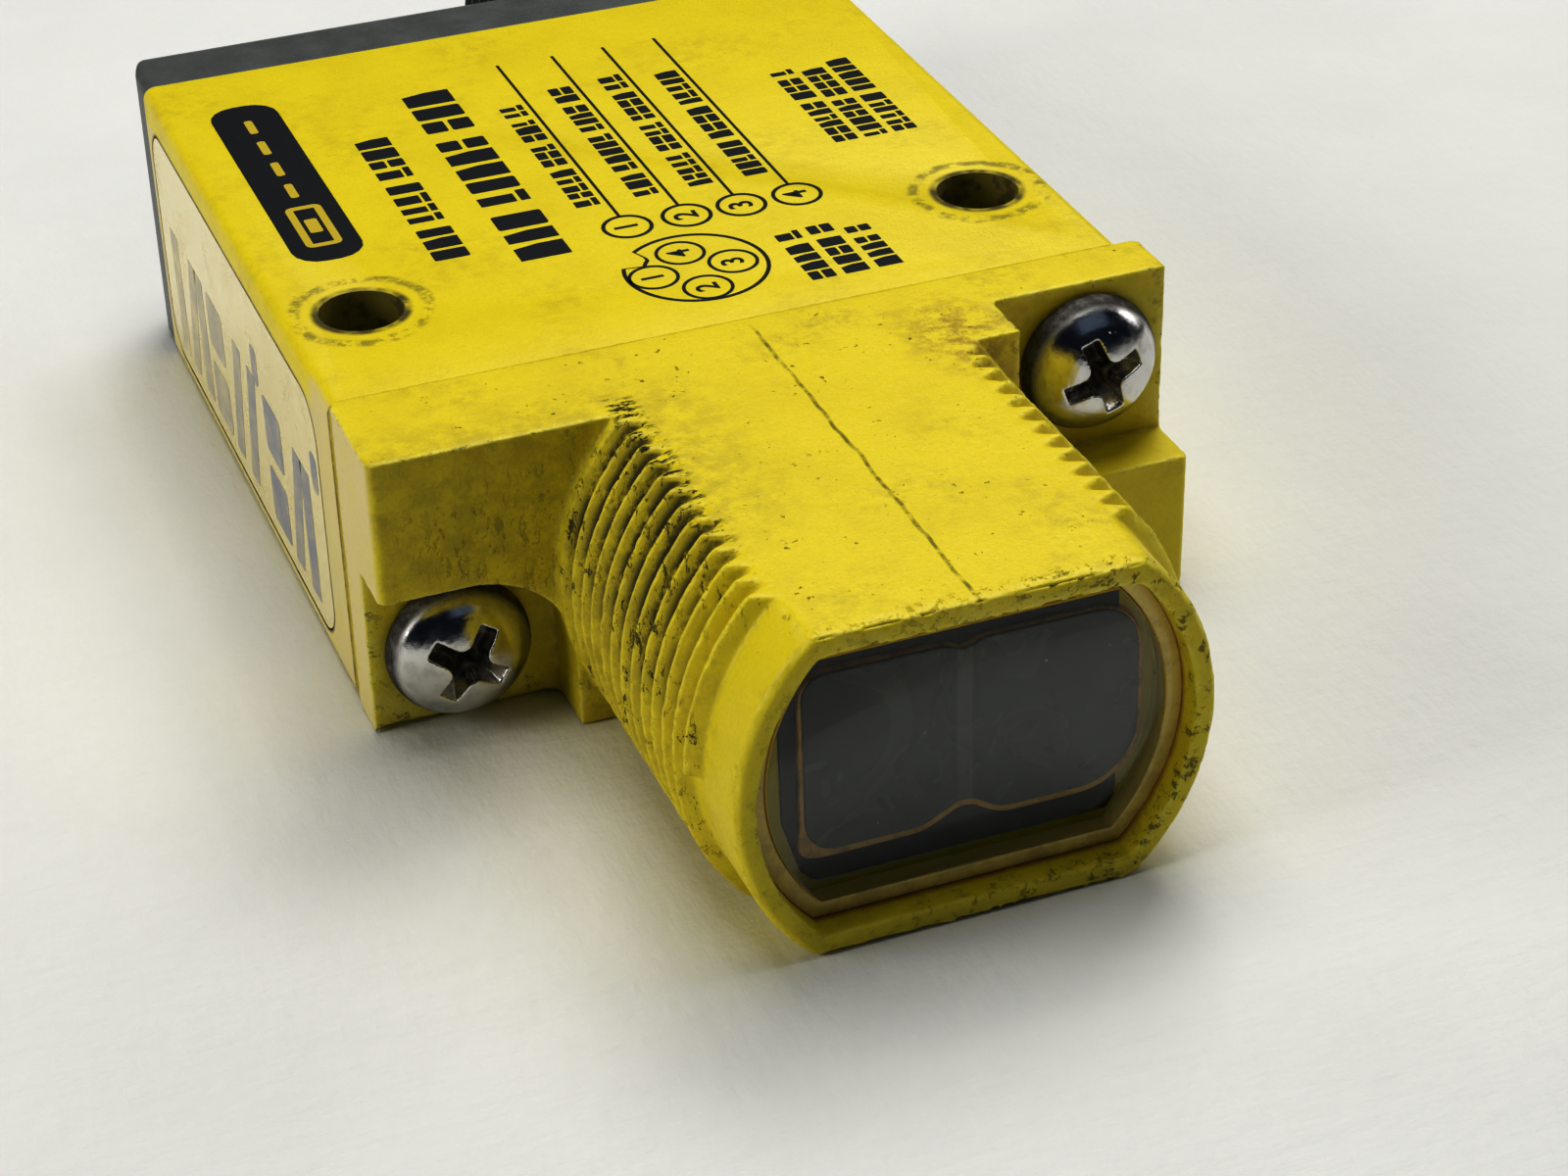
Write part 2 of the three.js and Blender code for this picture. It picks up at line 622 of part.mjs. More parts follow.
/** Insulated wire from a contact's tail, bending down to its pad on the main board. */
function leadWire([x, z], landingX) {
  const low = boardTop + 0.95;
  const points = [
    new THREE.Vector3(x, 46.3, z),
    new THREE.Vector3(x, 45.9, z * 0.98),
    new THREE.Vector3((x + landingX) / 2, 44.9, Math.max(z * 0.6, low)),
    new THREE.Vector3(landingX, 43.9, low),
    new THREE.Vector3(landingX, 43.3, boardTop + 0.5),
  ];
  const section = new THREE.Shape();
  section.absarc(0, 0, 0.36, 0, 2 * Math.PI);
  const extrudePath = new THREE.CatmullRomCurve3(points);
  const options = { steps: 10, curveSegments: 4, bevelEnabled: false, extrudePath };
  return solid(new THREE.ExtrudeGeometry(section, options));
}

// ---------------------------------------------------------------- electronics

function mainBoard() {
  const plan = new THREE.Shape();
  plan.moveTo(-7.9, 22);
  plan.lineTo(7.9, 22);
  plan.lineTo(7.9, 29.2);
  plan.lineTo(12.8, 29.2);
  plan.lineTo(12.8, 44.7);
  plan.lineTo(3.2, 44.7);
  plan.lineTo(3.2, 47.2);
  plan.lineTo(-13.5, 47.2);
  plan.lineTo(-13.5, 29.2);
  plan.lineTo(-7.9, 29.2);
  return alongZ(plan, boardTop - boardThickness, boardTop);
}

function opticsBoard() {
  return alongY(flattedCircle(innerRadius - 0.2, innerHalfHeight - 0.4), 16.55, 17.5, 0, 6);
}

/** Flat flexible strip that bends from the optics board down to the main board. */
function boardLink() {
  const profile = new THREE.Shape();
  profile.moveTo(17.6, -0.6);
  profile.lineTo(18.6, -0.6);
  profile.lineTo(22.6, boardTop + 0.35);
  profile.lineTo(24.2, boardTop + 0.35);
  profile.lineTo(24.2, boardTop + gap);
  profile.lineTo(22.4, boardTop + gap);
  profile.lineTo(18.4, -0.9);
  profile.lineTo(17.6, -0.9);
  return alongX(profile, -3, 3);
}

/** Moulded electronic component standing on the main board. */
function component(x0, x1, y0, y1, height) {
  return alongZ(roundedRect(x0, x1, y0, y1, 0.2), boardTop + gap, boardTop + height, 0.15, 2);
}

/** Main components of the board: x0, x1, y0, y1 and height over the board. */
const components = {
  modulator_chip: [-4.2, -0.3, 30, 40, 1.9],
  supply_regulator: [0.6, 7, 36.2, 41.6, 2.3],
  supply_capacitor: [0.6, 6.6, 30.2, 34.6, 3.1],
  output_transistor_npn: [8.4, 12.2, 30.2, 34.8, 1.8],
  output_transistor_pnp: [8.4, 12.2, 36.4, 41, 1.8],
  protection_diode: [-2.4, 2.4, 25.4, 28.2, 2.2],
};

/** Potting over the main board, moulded around the components and the trimmer. */
function upperPotting() {
  const filled = block(-13.7, 13, 29.4, 41.8, boardTop + gap, cavityHalfHeight - gap);
  const clear = 0.15;
  const spaces = Object.values(components).map(([x0, x1, y0, y1, height]) => (
    block(x0 - clear, x1 + clear, y0 - clear, y1 + clear, boardTop - 1, boardTop + height + clear)
  ));
  return cut(filled, ...spaces, block(-14, gainX + 2.6, 34.6, 48, boardTop - 1, 6));
}

function lowerPotting() {
  return block(-13.7, 13, 29.2, 45.2, -cavityHalfHeight + gap, boardTop - boardThickness - gap);
}

// ---------------------------------------------------------------- assembly

const sensor = new THREE.Group();
sensor.position.set(0, -overallLength / 2, halfThickness);

function add(name, piece, finish) {
  const mesh = new THREE.Mesh(geometryOf(piece), finish);
  mesh.name = name;
  sensor.add(mesh);
}

add('lens_housing', lensHousing(), yellowPlastic);
add('body_housing', bodyHousing(), yellowPlastic);
add('side_label', sideLabel(), labelFilm);
add('lens', lens(), clearPlastic);
add('lens_mask', lensMask(), blackPlastic);
add('optical_filter', opticalFilter(), smokedPlastic);
add('light_baffle', lightBaffle(), blackPlastic);
add('emitter_led', opticalDevice(1, 1.8), clearPlastic);
add('light_receiver', opticalDevice(-1, 1.8), blackPlastic);
add('optics_board', opticsBoard(), greenBoard);
const [frontSealOuter, frontSealInner] = [[-9.4, 9.4, -5.4, 5.4, 0.7], [-8.4, 8.4, -4.8, 4.8, 0.6]];
add('front_gasket', ringSeal(frontSealOuter, frontSealInner, seam - 0.45, seam - gap), blackRubber);
for (const [name, side] of [['left', -1], ['right', 1]]) {
  add(`cover_screw_${name}`, coverScrew(side), stainless);
  add(`threaded_insert_${name}`, threadedInsert(side), brass);
}

add('main_board', mainBoard(), greenBoard);
add('board_link', boardLink(), whitePlastic);
for (const [name, place] of Object.entries(components)) {
  add(name, component(...place), blackPlastic);
}
add('upper_potting', upperPotting(), epoxy);
add('lower_potting', lowerPotting(), epoxy);

add('rear_cover', rearCover(), darkPlastic);
const [rearSealOuter, rearSealInner] = [[-14.8, 14.1, -5.5, 5.5, 0.7], [-14.15, 13.45, -4.9, 4.9, 0.4]];
add('rear_gasket', ringSeal(rearSealOuter, rearSealInner, bodyRear + gap, bodyRear + 0.45), blackRubber);
add('trimmer_body', trimmerBody(), whitePlastic);
const gainShaft = { x: gainX, shaftRadius: 0.75, shaftEnd: 35.4, headRadius: 1.4, slot: 0.45 };
add('gain_screw', slottedShaft(gainShaft), brass);
add('wiper_carriage', wiperCarriage(), blackPlastic);
add('selector_body', selectorBody(), blackPlastic);
const selectorShaft = { x: selectorX, shaftRadius: 0.95, shaftEnd: 44.5, headRadius: 1.5, slot: 0.5 };
add('selector_rotor', slottedShaft(selectorShaft), whitePlastic);
add('indicator_led', indicatorLed(), redPlastic);
add('control_lid', controlLid(), clearPlastic);
const [lidSealOuter, lidSealInner] = [[-9.3, -0.05, -3.75, 3.75, 0.8], [-8.6, -0.75, -3.05, 3.05, 0.5]];
const lidSeal = ringSeal(lidSealOuter, lidSealInner, recessFloor + gap, lidBack - gap);
add('control_lid_gasket', lidSeal, blackRubber);
for (const [index, name] of ['left', 'right'].entries()) {
  add(`control_lid_screw_${name}`, crossScrew({
    x: lidScrewXs[index], z: 0, seat: 52.4, headRadius: 1.1, headHeight: 0.62,
    shankRadius: 0.55, shankLength: 2.5, turn: 20 + 50 * index, pointing: -1, sides: 20,
  }), stainless);
}

add('connector_shell', connectorShell(), blackPlastic);
add('contact_insert', contactInsert(), blackPlastic);
add('connector_seal', connectorSeal(), blackRubber);
const landings = [11.6, 9.6, 5.4, 7.5]; // x of each lead's pad on the board
for (const [index, place] of contactPlaces().entries()) {
  add(`contact_pin_${index + 1}`, contactPin(place), gold);
  add(`lead_wire_${index + 1}`, leadWire(place, landings[index]), leadColours[index]);
}

export default sensor;
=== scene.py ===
"""Compact photoelectric sensor with a threaded lens barrel, lying on a pale floor in soft light.

The CAD bodies carry the shapes. This script gives them their finishes, wears the moulded edges, prints
the faces and sets up the floor, the lights and the camera. Lengths are in millimetres, turned to metres by
MM where a call needs metres. X runs across the body, Y from the lens to the connector, Z up.
"""

import math

import bmesh
import bpy
import numpy as np
from mathutils import Matrix, Vector


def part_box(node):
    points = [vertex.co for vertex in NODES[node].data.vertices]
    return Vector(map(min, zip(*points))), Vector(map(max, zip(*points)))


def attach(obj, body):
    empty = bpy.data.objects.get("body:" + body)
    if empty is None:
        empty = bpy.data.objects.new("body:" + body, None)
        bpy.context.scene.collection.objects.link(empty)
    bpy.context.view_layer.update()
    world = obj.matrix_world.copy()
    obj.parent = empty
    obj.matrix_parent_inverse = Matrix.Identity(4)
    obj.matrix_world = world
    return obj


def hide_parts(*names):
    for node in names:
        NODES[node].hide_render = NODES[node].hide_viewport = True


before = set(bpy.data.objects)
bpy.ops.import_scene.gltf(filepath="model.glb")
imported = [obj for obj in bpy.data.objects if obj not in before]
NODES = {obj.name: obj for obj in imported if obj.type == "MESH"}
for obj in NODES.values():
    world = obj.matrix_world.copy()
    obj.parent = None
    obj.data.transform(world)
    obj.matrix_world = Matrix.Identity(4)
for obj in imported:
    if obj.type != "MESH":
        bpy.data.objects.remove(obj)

MM = 0.001
BODY = "housing"
SCENE = bpy.context.scene
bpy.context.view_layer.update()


def box_mm(node):
    """Lowest and highest corner of a CAD node, in millimetres."""
    low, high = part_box(node)
    return np.array(low) / MM, np.array(high) / MM


HOUSING_LOW, HOUSING_HIGH = box_mm("body_housing")
BARREL_LOW, BARREL_HIGH = box_mm("lens_housing")
LABEL_LOW, LABEL_HIGH = box_mm("side_label")
AXIS_Z = (BARREL_LOW[2] + BARREL_HIGH[2]) / 2
BARREL_SIDES = 36
BARREL_RADIUS = 9.06
HOUSING_VOXEL, SCREW_VOXEL = 0.068, 0.045
TIP_Y = BARREL_LOW[1]
SHOULDER_Y = TIP_Y + 15.5
SEAM_Y = HOUSING_LOW[1]
HOLE_Y = SEAM_Y + 6.15
LABEL_CORNER = 1.6
HOLE_XS = [(HOUSING_LOW[0] + HOUSING_HIGH[0]) / 2 + side * 12.05 for side in (-1, 1)]


# ------------------------------------------------------------------ finishes


class Finish:
    """A procedural material. Positions are in millimetres in the part's frame."""

    def __init__(self, name, color=(0.5, 0.5, 0.5), roughness=0.5, metallic=0.0, **sockets):
        self.material = bpy.data.materials.new(name)
        self.material.use_nodes = True
        self.tree = self.material.node_tree
        self.shader = self.tree.nodes["Principled BSDF"]
        self.set(self.shader, "Base Color", (*color, 1.0))
        self.set(self.shader, "Roughness", roughness)
        self.set(self.shader, "Metallic", metallic)
        for socket, value in sockets.items():
            self.set(self.shader, socket.replace("_", " "), value)
        coordinates = self.add("ShaderNodeTexCoord")
        scaled = self.add("ShaderNodeVectorMath", operation="SCALE")
        scaled.inputs["Scale"].default_value = 1 / MM
        self.tree.links.new(coordinates.outputs["Object"], scaled.inputs[0])
        self.place = scaled.outputs[0]
        self.normal = None

    def add(self, kind, **settings):
        node = self.tree.nodes.new(kind)
        for key, value in settings.items():
            setattr(node, key, value)
        return node

    def set(self, node, socket, value):
        target = node.inputs[socket]
        if isinstance(value, bpy.types.NodeSocket):
            self.tree.links.new(value, target)
        else:
            target.default_value = value

    def calc(self, operation, first, second=0.0, third=0.0):
        node = self.add("ShaderNodeMath", operation=operation)
        for index, value in enumerate((first, second, third)):
            self.set(node, index, value)
        return node.outputs[0]

    def times(self, first, *factors):
        for factor in factors:
            first = self.calc("MULTIPLY", first, factor)
        return first

    def most(self, first, *others):
        for other in others:
            first = self.calc("MAXIMUM", first, other)
        return first

    def plus(self, first, second):
        return self.calc("ADD", first, second)

    def minus(self, first, second):
        return self.calc("SUBTRACT", first, second)

    def apart(self, first, second):
        return self.calc("ABSOLUTE", self.minus(first, second))

    def axes(self):
        node = self.add("ShaderNodeSeparateXYZ")
        self.set(node, 0, self.place)
        return node.outputs

    def stretched(self, x, y, z):
        """The position scaled by a factor along each axis, for streaks."""
        node = self.add("ShaderNodeVectorMath", operation="MULTIPLY")
        self.set(node, 0, self.place)
        node.inputs[1].default_value = (x, y, z)
        return node.outputs[0]

    def noise(self, scale, detail=3.0, roughness=0.5, distortion=0.0, place=None):
        node = self.add("ShaderNodeTexNoise")
        self.set(node, "Vector", place or self.place)
        settings = {"Scale": scale, "Detail": detail, "Roughness": roughness, "Distortion": distortion}
        for socket, value in settings.items():
            node.inputs[socket].default_value = value
        return node.outputs["Fac"]

    def cells(self, scale, feature="F1"):
        node = self.add("ShaderNodeTexVoronoi", feature=feature)
        self.set(node, "Vector", self.place)
        node.inputs["Scale"].default_value = scale
        return node.outputs["Distance"]

    def length(self, first, second):
        return self.calc("SQRT", self.plus(self.times(first, first), self.times(second, second)))

    def band(self, value, low, high, to_low=0.0, to_high=1.0):
        """A smooth step of value from low to high."""
        node = self.add("ShaderNodeMapRange", interpolation_type="SMOOTHSTEP")
        for index, number in enumerate((value, low, high, to_low, to_high)):
            self.set(node, index, number)
        return node.outputs[0]

    def patches(self, grain, *steps):
        """Patches or specks: a smooth step of noise, with grain as the noise's arguments."""
        return self.band(self.noise(*grain), *steps)

    def mix(self, factor, first, second):
        node = self.add("ShaderNodeMix", data_type="RGBA")
        self.set(node, 0, factor)
        self.set(node, 6, first if isinstance(first, bpy.types.NodeSocket) else (*first, 1.0))
        self.set(node, 7, second if isinstance(second, bpy.types.NodeSocket) else (*second, 1.0))
        return node.outputs[2]

    def facing(self, axis):
        """How squarely the surface faces along an axis, either way."""
        node = self.add("ShaderNodeSeparateXYZ")
        self.set(node, 0, self.add("ShaderNodeNewGeometry").outputs["Normal"])
        return self.calc("ABSOLUTE", node.outputs[axis])

    def attribute(self, name):
        return self.add("ShaderNodeAttribute", attribute_name=name).outputs["Fac"]

    def edge(self, radius, low=0.02, high=0.25):
        """1 on sharp convex or concave edges, 0 on flat faces."""
        bevel = self.add("ShaderNodeBevel", samples=4)
        bevel.inputs["Radius"].default_value = radius * MM
        geometry = self.add("ShaderNodeNewGeometry")
        dot = self.add("ShaderNodeVectorMath", operation="DOT_PRODUCT")
        self.set(dot, 0, bevel.outputs[0])
        self.set(dot, 1, geometry.outputs["Normal"])
        return self.band(self.minus(1.0, dot.outputs["Value"]), low, high)

    def bump(self, height, depth):
        """Adds relief of that depth in millimetres to the surface."""
        node = self.add("ShaderNodeBump")
        self.set(node, "Height", height)
        node.inputs["Distance"].default_value = depth * MM
        node.inputs["Strength"].default_value = 1.0
        if self.normal:
            self.set(node, "Normal", self.normal)
        self.normal = node.outputs["Normal"]
        self.set(self.shader, "Normal", self.normal)

    def color(self, value):
        self.set(self.shader, "Base Color", value)

    def roughness(self, value):
        self.set(self.shader, "Roughness", value)


YELLOW = (0.82, 0.69, 0.022)
YELLOW_RUB_AND_HIGHLIGHT = (0.88, 0.80, 0.20)
YELLOW_DEEP = (0.66, 0.52, 0.018)
YELLOW_HAZE_AND_SHEEN = (0.76, 0.65, 0.29)
GRIME_AND_SHADE = (0.030, 0.024, 0.010)
OLIVE_DIRT_AND_SHADE = (0.24, 0.185, 0.035)
RUST_BROWN = (0.22, 0.085, 0.02)


def barrel_grime_and_root_shade(f, x, y, z):
    """Black dirt on the barrel: packed in the thread roots of the upper left, and crumbs over its crests,
    with a faint painted shade in every thread root.
    """
    up = f.minus(z, AXIS_Z)
    radius = f.length(x, up)
    turned = f.band(f.calc("ABSOLUTE", up), 6.02, 5.90)
    root = f.times(f.band(radius, 8.92, 8.58), f.band(radius, 8.0, 8.2), turned)
    left = f.band(x, -4.0, -7.0)
    upper = f.band(up, -1.5, 2.5)
    rear = f.band(y, TIP_Y + 2.5, TIP_Y + 8.0)
    reach = f.times(upper, rear, left)
    packed = f.patches((0.9, 5, 0.75), 0.30, 0.52)
    # painted shade: a faint darkening of every thread root, under the packed dirt
    in_root = f.times(root, f.calc("MULTIPLY_ADD", f.times(reach, packed), 0.90, 0.05))
    on_side = f.times(f.band(radius, 8.3, 8.6), left, turned)
    streaks = f.patches((1.5, 5, 0.85, 0.4, f.stretched(2.2, 1.0, 0.8)), 0.555, 0.62)
    patch = f.patches((0.30, 2, 0.5), 0.42, 0.58)
    crumbs = f.times(streaks, on_side, f.calc("MULTIPLY_ADD", patch, 0.75, 0.15))
    haze = f.times(on_side, f.patches((0.7, 5, 0.7), 0.42, 0.7), 0.13)
    barrel = f.band(y, SHOULDER_Y + 0.2, SHOULDER_Y - 0.3)
    return f.times(barrel, f.most(haze, in_root, crumbs))


def flat_marks(f, x, y, z):
    """Dark marks on the upper flat: the mould's parting line and dashes at the ends of the thread's turns."""
    on_top = f.band(z, AXIS_Z + 5.6, AXIS_Z + 6.0)
    line_x = f.calc("ABSOLUTE", f.plus(x, f.calc("MULTIPLY_ADD", f.noise(0.5, 2), 0.4, -0.10)))
    broken = f.patches((1.1, 4, 0.75), 0.34, 0.60, 0.12, 1.0)
    line = f.times(f.band(line_x, 0.10, 0.02), broken, f.band(y, SEAM_Y - 0.4, SEAM_Y - 1.2))
    ends_x = f.band(f.calc("ABSOLUTE", f.plus(x, 6.2)), 0.75, 0.25)
    ends_y = f.times(f.band(y, TIP_Y + 4.5, TIP_Y + 8.5), f.band(y, SHOULDER_Y + 1.6, SHOULDER_Y + 0.8))
    dashes = f.patches((2.4, 4, 0.7, 0.0, f.stretched(0.7, 1.7, 1.0)), 0.52, 0.60)
    ends = f.times(ends_x, ends_y, dashes)
    pits = f.times(f.patches((3.3, 3, 0.6), 0.66, 0.70), f.patches((0.8, 2), 0.52, 0.60))
    marks = f.most(f.times(line, 0.75), ends, f.times(pits, 0.7))
    return f.times(on_top, marks)


def hole_rings(f, x, y):
    """Rings rubbed by the heads of mounting screws around the two holes, dirt at their edges and painted
    shade down the holes.
    """
    grime_and_shade = 0.0
    for hole_x in HOLE_XS:
        r = f.length(f.minus(x, hole_x), f.minus(y, HOLE_Y))
        wobble = f.calc("MULTIPLY_ADD", f.noise(0.8, 3), 0.5, -0.25)
        ring = f.apart(f.plus(r, wobble), 2.45)
        ring = f.times(f.band(ring, 0.34, 0.08), f.patches((1.7, 4, 0.7), 0.40, 0.60))
        rim = f.times(f.band(r, 1.95, 1.70), f.patches((1.2, 3), 0.3, 0.6, 0.3, 0.9))
        # painted shade: an even darkening inside the holes
        hole_shade = f.band(r, 1.60, 1.57, 0.0, 0.75)
        grime_and_shade = f.most(grime_and_shade, f.times(ring, 0.55), rim, hole_shade)
    return grime_and_shade


def label_line(f, y, z):
    """1 on the outline of the label's recess."""
    half = (LABEL_HIGH - LABEL_LOW) / 2 - LABEL_CORNER
    middle = (LABEL_HIGH + LABEL_LOW) / 2
    past = [f.most(f.minus(f.apart(value, middle[k]), half[k]), 0.0)
            for k, value in ((1, y), (2, z))]
    away = f.apart(f.length(*past), LABEL_CORNER + 0.02)
    return f.band(away, 0.22, 0.09)


def yellow_plastic(name, worn):
    """Moulded yellow plastic, with dirt and painted shade in its hollows and pale edges that are partly
    rubbed wear and partly painted highlight.
    """
    f = Finish(name, YELLOW, 0.46)
    x, y, z = f.axes()
    grain = f.noise(7, 4, 0.7)
    color = f.mix(f.patches((0.35, 4, 0.6), 0.35, 0.7), YELLOW, (0.78, 0.65, 0.020))
    color = f.mix(f.times(f.band(grain, 0.46, 0.74), 0.36), color, YELLOW_DEEP)
    # soft olive smudges from handling; on the worn housing, dirt and painted shade on the left of the rear
    # threads and the collar
    smudge_and_shade = f.times(f.patches((0.22, 3, 0.6), 0.45, 0.68), f.patches((1.4, 5, 0.72), 0.42, 0.66))
    amount = 0.16
    if worn:
        # dirt and painted shade on the left of the rear threads, fading out over the collar
        left_dirt_and_shade = f.times(f.band(x, -1.0, -5.5), f.band(y, TIP_Y + 4.0, TIP_Y + 9.0))
        left_dirt_and_shade = f.times(left_dirt_and_shade, f.patches((0.9, 5, 0.75), 0.38, 0.62))
        smudge_and_shade = f.most(smudge_and_shade, f.times(left_dirt_and_shade, f.band(y, SEAM_Y - 0.8, SHOULDER_Y)))
        amount = 0.30
    color = f.mix(f.times(smudge_and_shade, amount), color, OLIVE_DIRT_AND_SHADE)
    # pale edges, broken up by noise: rubbed wear and painted edge highlight
    ridge = f.attribute("ridge") if worn else f.edge(0.22)
    rub_and_highlight = f.times(ridge, f.patches((1.3, 4, 0.75), 0.34, 0.60))
    color = f.mix(f.times(rub_and_highlight, 0.7), color, YELLOW_RUB_AND_HIGHLIGHT)
    # the narrow left side is painted paler, most at a glancing angle: a painted reflection of the bright
    # surroundings over some haze from handling, and dirt has settled in its seam
    side = f.times(f.band(x, HOUSING_LOW[0] + 0.6, HOUSING_LOW[0] + 0.3), f.band(f.facing("X"), 0.55, 0.8))
    glance = f.band(f.add("ShaderNodeLayerWeight").outputs["Facing"], 0.15, 0.75, 0.30, 1.0)
    rear_part = f.times(f.band(y, LABEL_LOW[1] - 0.3, LABEL_LOW[1] + 0.5),
                        f.band(z, LABEL_HIGH[2] - 0.1, LABEL_HIGH[2] + 0.2))
    haze_and_sheen = f.times(side, glance, f.minus(1.0, rear_part))
    # painted reflection: the left side turns cream by viewing angle
    color = f.mix(f.times(haze_and_sheen, f.patches((0.5, 4, 0.6), 0.2, 0.6, 0.75, 1.0)), color, YELLOW_HAZE_AND_SHEEN)
    seam = f.times(f.band(f.apart(y, SEAM_Y), 0.16, 0.05), side)
    color = f.mix(f.times(seam, f.patches((1.3, 4, 0.7), 0.3, 0.6, 0.4, 0.9)), color, (0.12, 0.075, 0.02))
    patches = f.patches((0.28, 3, 0.6), 0.48, 0.66)
    specks = f.times(patches, f.patches((4.5, 5, 0.8), 0.64, 0.70), 0.5)
    if worn:
        edge_dirt = f.times(ridge, f.patches((2.1, 5, 0.8), 0.56, 0.64))
        shape = f.most(barrel_grime_and_root_shade(f, x, y, z), flat_marks(f, x, y, z))
        grime_and_shade = f.most(specks, f.times(edge_dirt, 0.6), shape)
        # dirt and painted shade in the worn housing's hollows
        groove_dirt_and_shade = f.times(f.attribute("groove"), f.patches((1.6, 4, 0.7), 0.35, 0.65))
        grime_and_shade = f.most(grime_and_shade, f.times(groove_dirt_and_shade, 0.30))
        tip = f.times(f.band(y, TIP_Y + 1.0, TIP_Y + 0.3), f.band(x, -6.0, 6.5, 0.25, 1.0))
        tip_dirt = f.times(tip, f.patches((1.9, 6, 0.85), 0.555, 0.615))
        grime_and_shade = f.most(grime_and_shade, f.times(tip_dirt, 0.65))
        # old grease between the barrel and the right-hand screw
        stain_x = f.calc("DIVIDE", f.minus(x, 6.4), 2.6)
        stain_y = f.calc("DIVIDE", f.minus(y, SHOULDER_Y + 0.6), 3.6)
        near = f.band(f.length(stain_x, stain_y), 1.15, 0.15)
        stain = f.times(near, f.patches((1.3, 5, 0.75), 0.40, 0.62))
        color = f.mix(f.times(stain, 0.6), color, RUST_BROWN)
        # brown dirt where the lens meets its pocket
        up = f.apart(z, AXIS_Z)
        inside = f.times(f.band(f.length(x, f.minus(z, AXIS_Z)), 7.80, 7.70), f.band(up, 5.45, 5.38))
        inside = f.times(inside, f.band(y, TIP_Y + 0.70, TIP_Y + 1.0))
        inside = f.times(inside, f.band(y, TIP_Y + 2.3, TIP_Y + 1.7))
        inside = f.times(inside, f.patches((1.5, 3), 0.2, 0.6, 0.5, 0.9))
        color = f.mix(inside, color, (0.42, 0.19, 0.015))
    else:
        # a dirty line around the film
        around = f.times(label_line(f, y, z), f.band(x, LABEL_LOW[0] + 0.5, LABEL_LOW[0] + 0.3))
        around = f.times(around, f.patches((1.1, 4, 0.7), 0.3, 0.6, 0.55, 0.95))
        color = f.mix(around, color, (0.10, 0.06, 0.02))
        grime_and_shade = f.most(specks, hole_rings(f, x, y))
    # dirt mixed with painted shade from the masks above
    color = f.mix(grime_and_shade, color, GRIME_AND_SHADE)
    f.color(color)
    f.roughness(f.plus(f.band(grain, 0.3, 0.8, 0.38, 0.54), f.times(grime_and_shade, 0.3)))
    f.set(f.shader, "Subsurface Weight", 0.05)
    f.set(f.shader, "Subsurface Radius", (1.2 * MM, 0.7 * MM, 0.1 * MM))
    f.set(f.shader, "Subsurface Scale", 1.0)
    f.bump(grain, 0.014)
    f.bump(f.noise(1.8, 4, 0.6), 0.03)
    if worn:
        f.bump(grime_and_shade, 0.05)
    return f.material


def dark_plastic(name, color, rough=0.45, sheen=0.02):
    """Fine-textured dark moulding with lighter edges, partly rubbed wear and partly painted highlight, and a
    little dust.
    """
    f = Finish(name, color, rough)
    grain = f.noise(14, 3, 0.6)
    pale = tuple(min(1.0, c * 2.2 + sheen) for c in color)
    base = f.mix(f.patches((0.6, 4, 0.6), 0.3, 0.75), color, tuple(c * 1.35 for c in color))
    # lighter edges: rubbed wear and painted edge highlight
    edge = f.times(f.edge(0.3), f.patches((2.2, 4, 0.7), 0.3, 0.65))
    base = f.mix(f.times(edge, 0.6), base, pale)
    dust = f.times(f.patches((5, 4, 0.8), 0.60, 0.72), 0.2)
    f.color(f.mix(dust, base, (0.25, 0.23, 0.18)))
    f.roughness(f.band(grain, 0.3, 0.7, rough - 0.08, rough + 0.12))
    f.bump(grain, 0.02)
    return f.material


def metal(name, color, roughness, brushed=0.0):
    """Metal with fine scratches and dulled patches."""
    f = Finish(name, color, roughness, 1.0)
    smear = f.noise(1.3, 4, 0.6)
    scratches = f.noise(7, 2, 0.7, place=f.stretched(1, 1, 9))
    f.color(f.mix(f.band(smear, 0.45, 0.8), color, tuple(c * 0.72 for c in color)))
    f.roughness(f.band(smear, 0.3, 0.8, roughness * 0.7, roughness * 1.9))
    f.bump(scratches, 0.004 + brushed)
    f.bump(f.noise(2.5, 3), 0.006)
    return f.material


def screw_steel(name):
    """Polished steel head with faint swirls, and old brown grease down in the recess."""
    f = Finish(name, (0.66, 0.65, 0.63), 0.12, 1.0)
    _, y, _ = f.axes()
    deep = f.band(y, SHOULDER_Y + 1.35, SHOULDER_Y + 1.75)
    near = f.times(deep, f.patches((2.2, 4, 0.7), 0.2, 0.6, 0.75, 1.0))
    smear = f.noise(1.6, 4, 0.65)
    haze = f.band(smear, 0.42, 0.75)
    f.color(f.mix(near, f.mix(haze, (0.68, 0.67, 0.65), (0.52, 0.51, 0.49)), (0.035, 0.028, 0.018)))
    f.set(f.shader, "Metallic", f.minus(1.0, f.times(near, 0.9)))
    f.roughness(f.plus(f.plus(0.10, f.times(haze, 0.16)), f.times(near, 0.45)))
    f.bump(f.noise(9, 3, 0.7, place=f.stretched(1, 1, 5)), 0.003)
    f.bump(f.noise(2.2, 3), 0.010)
    return f.material


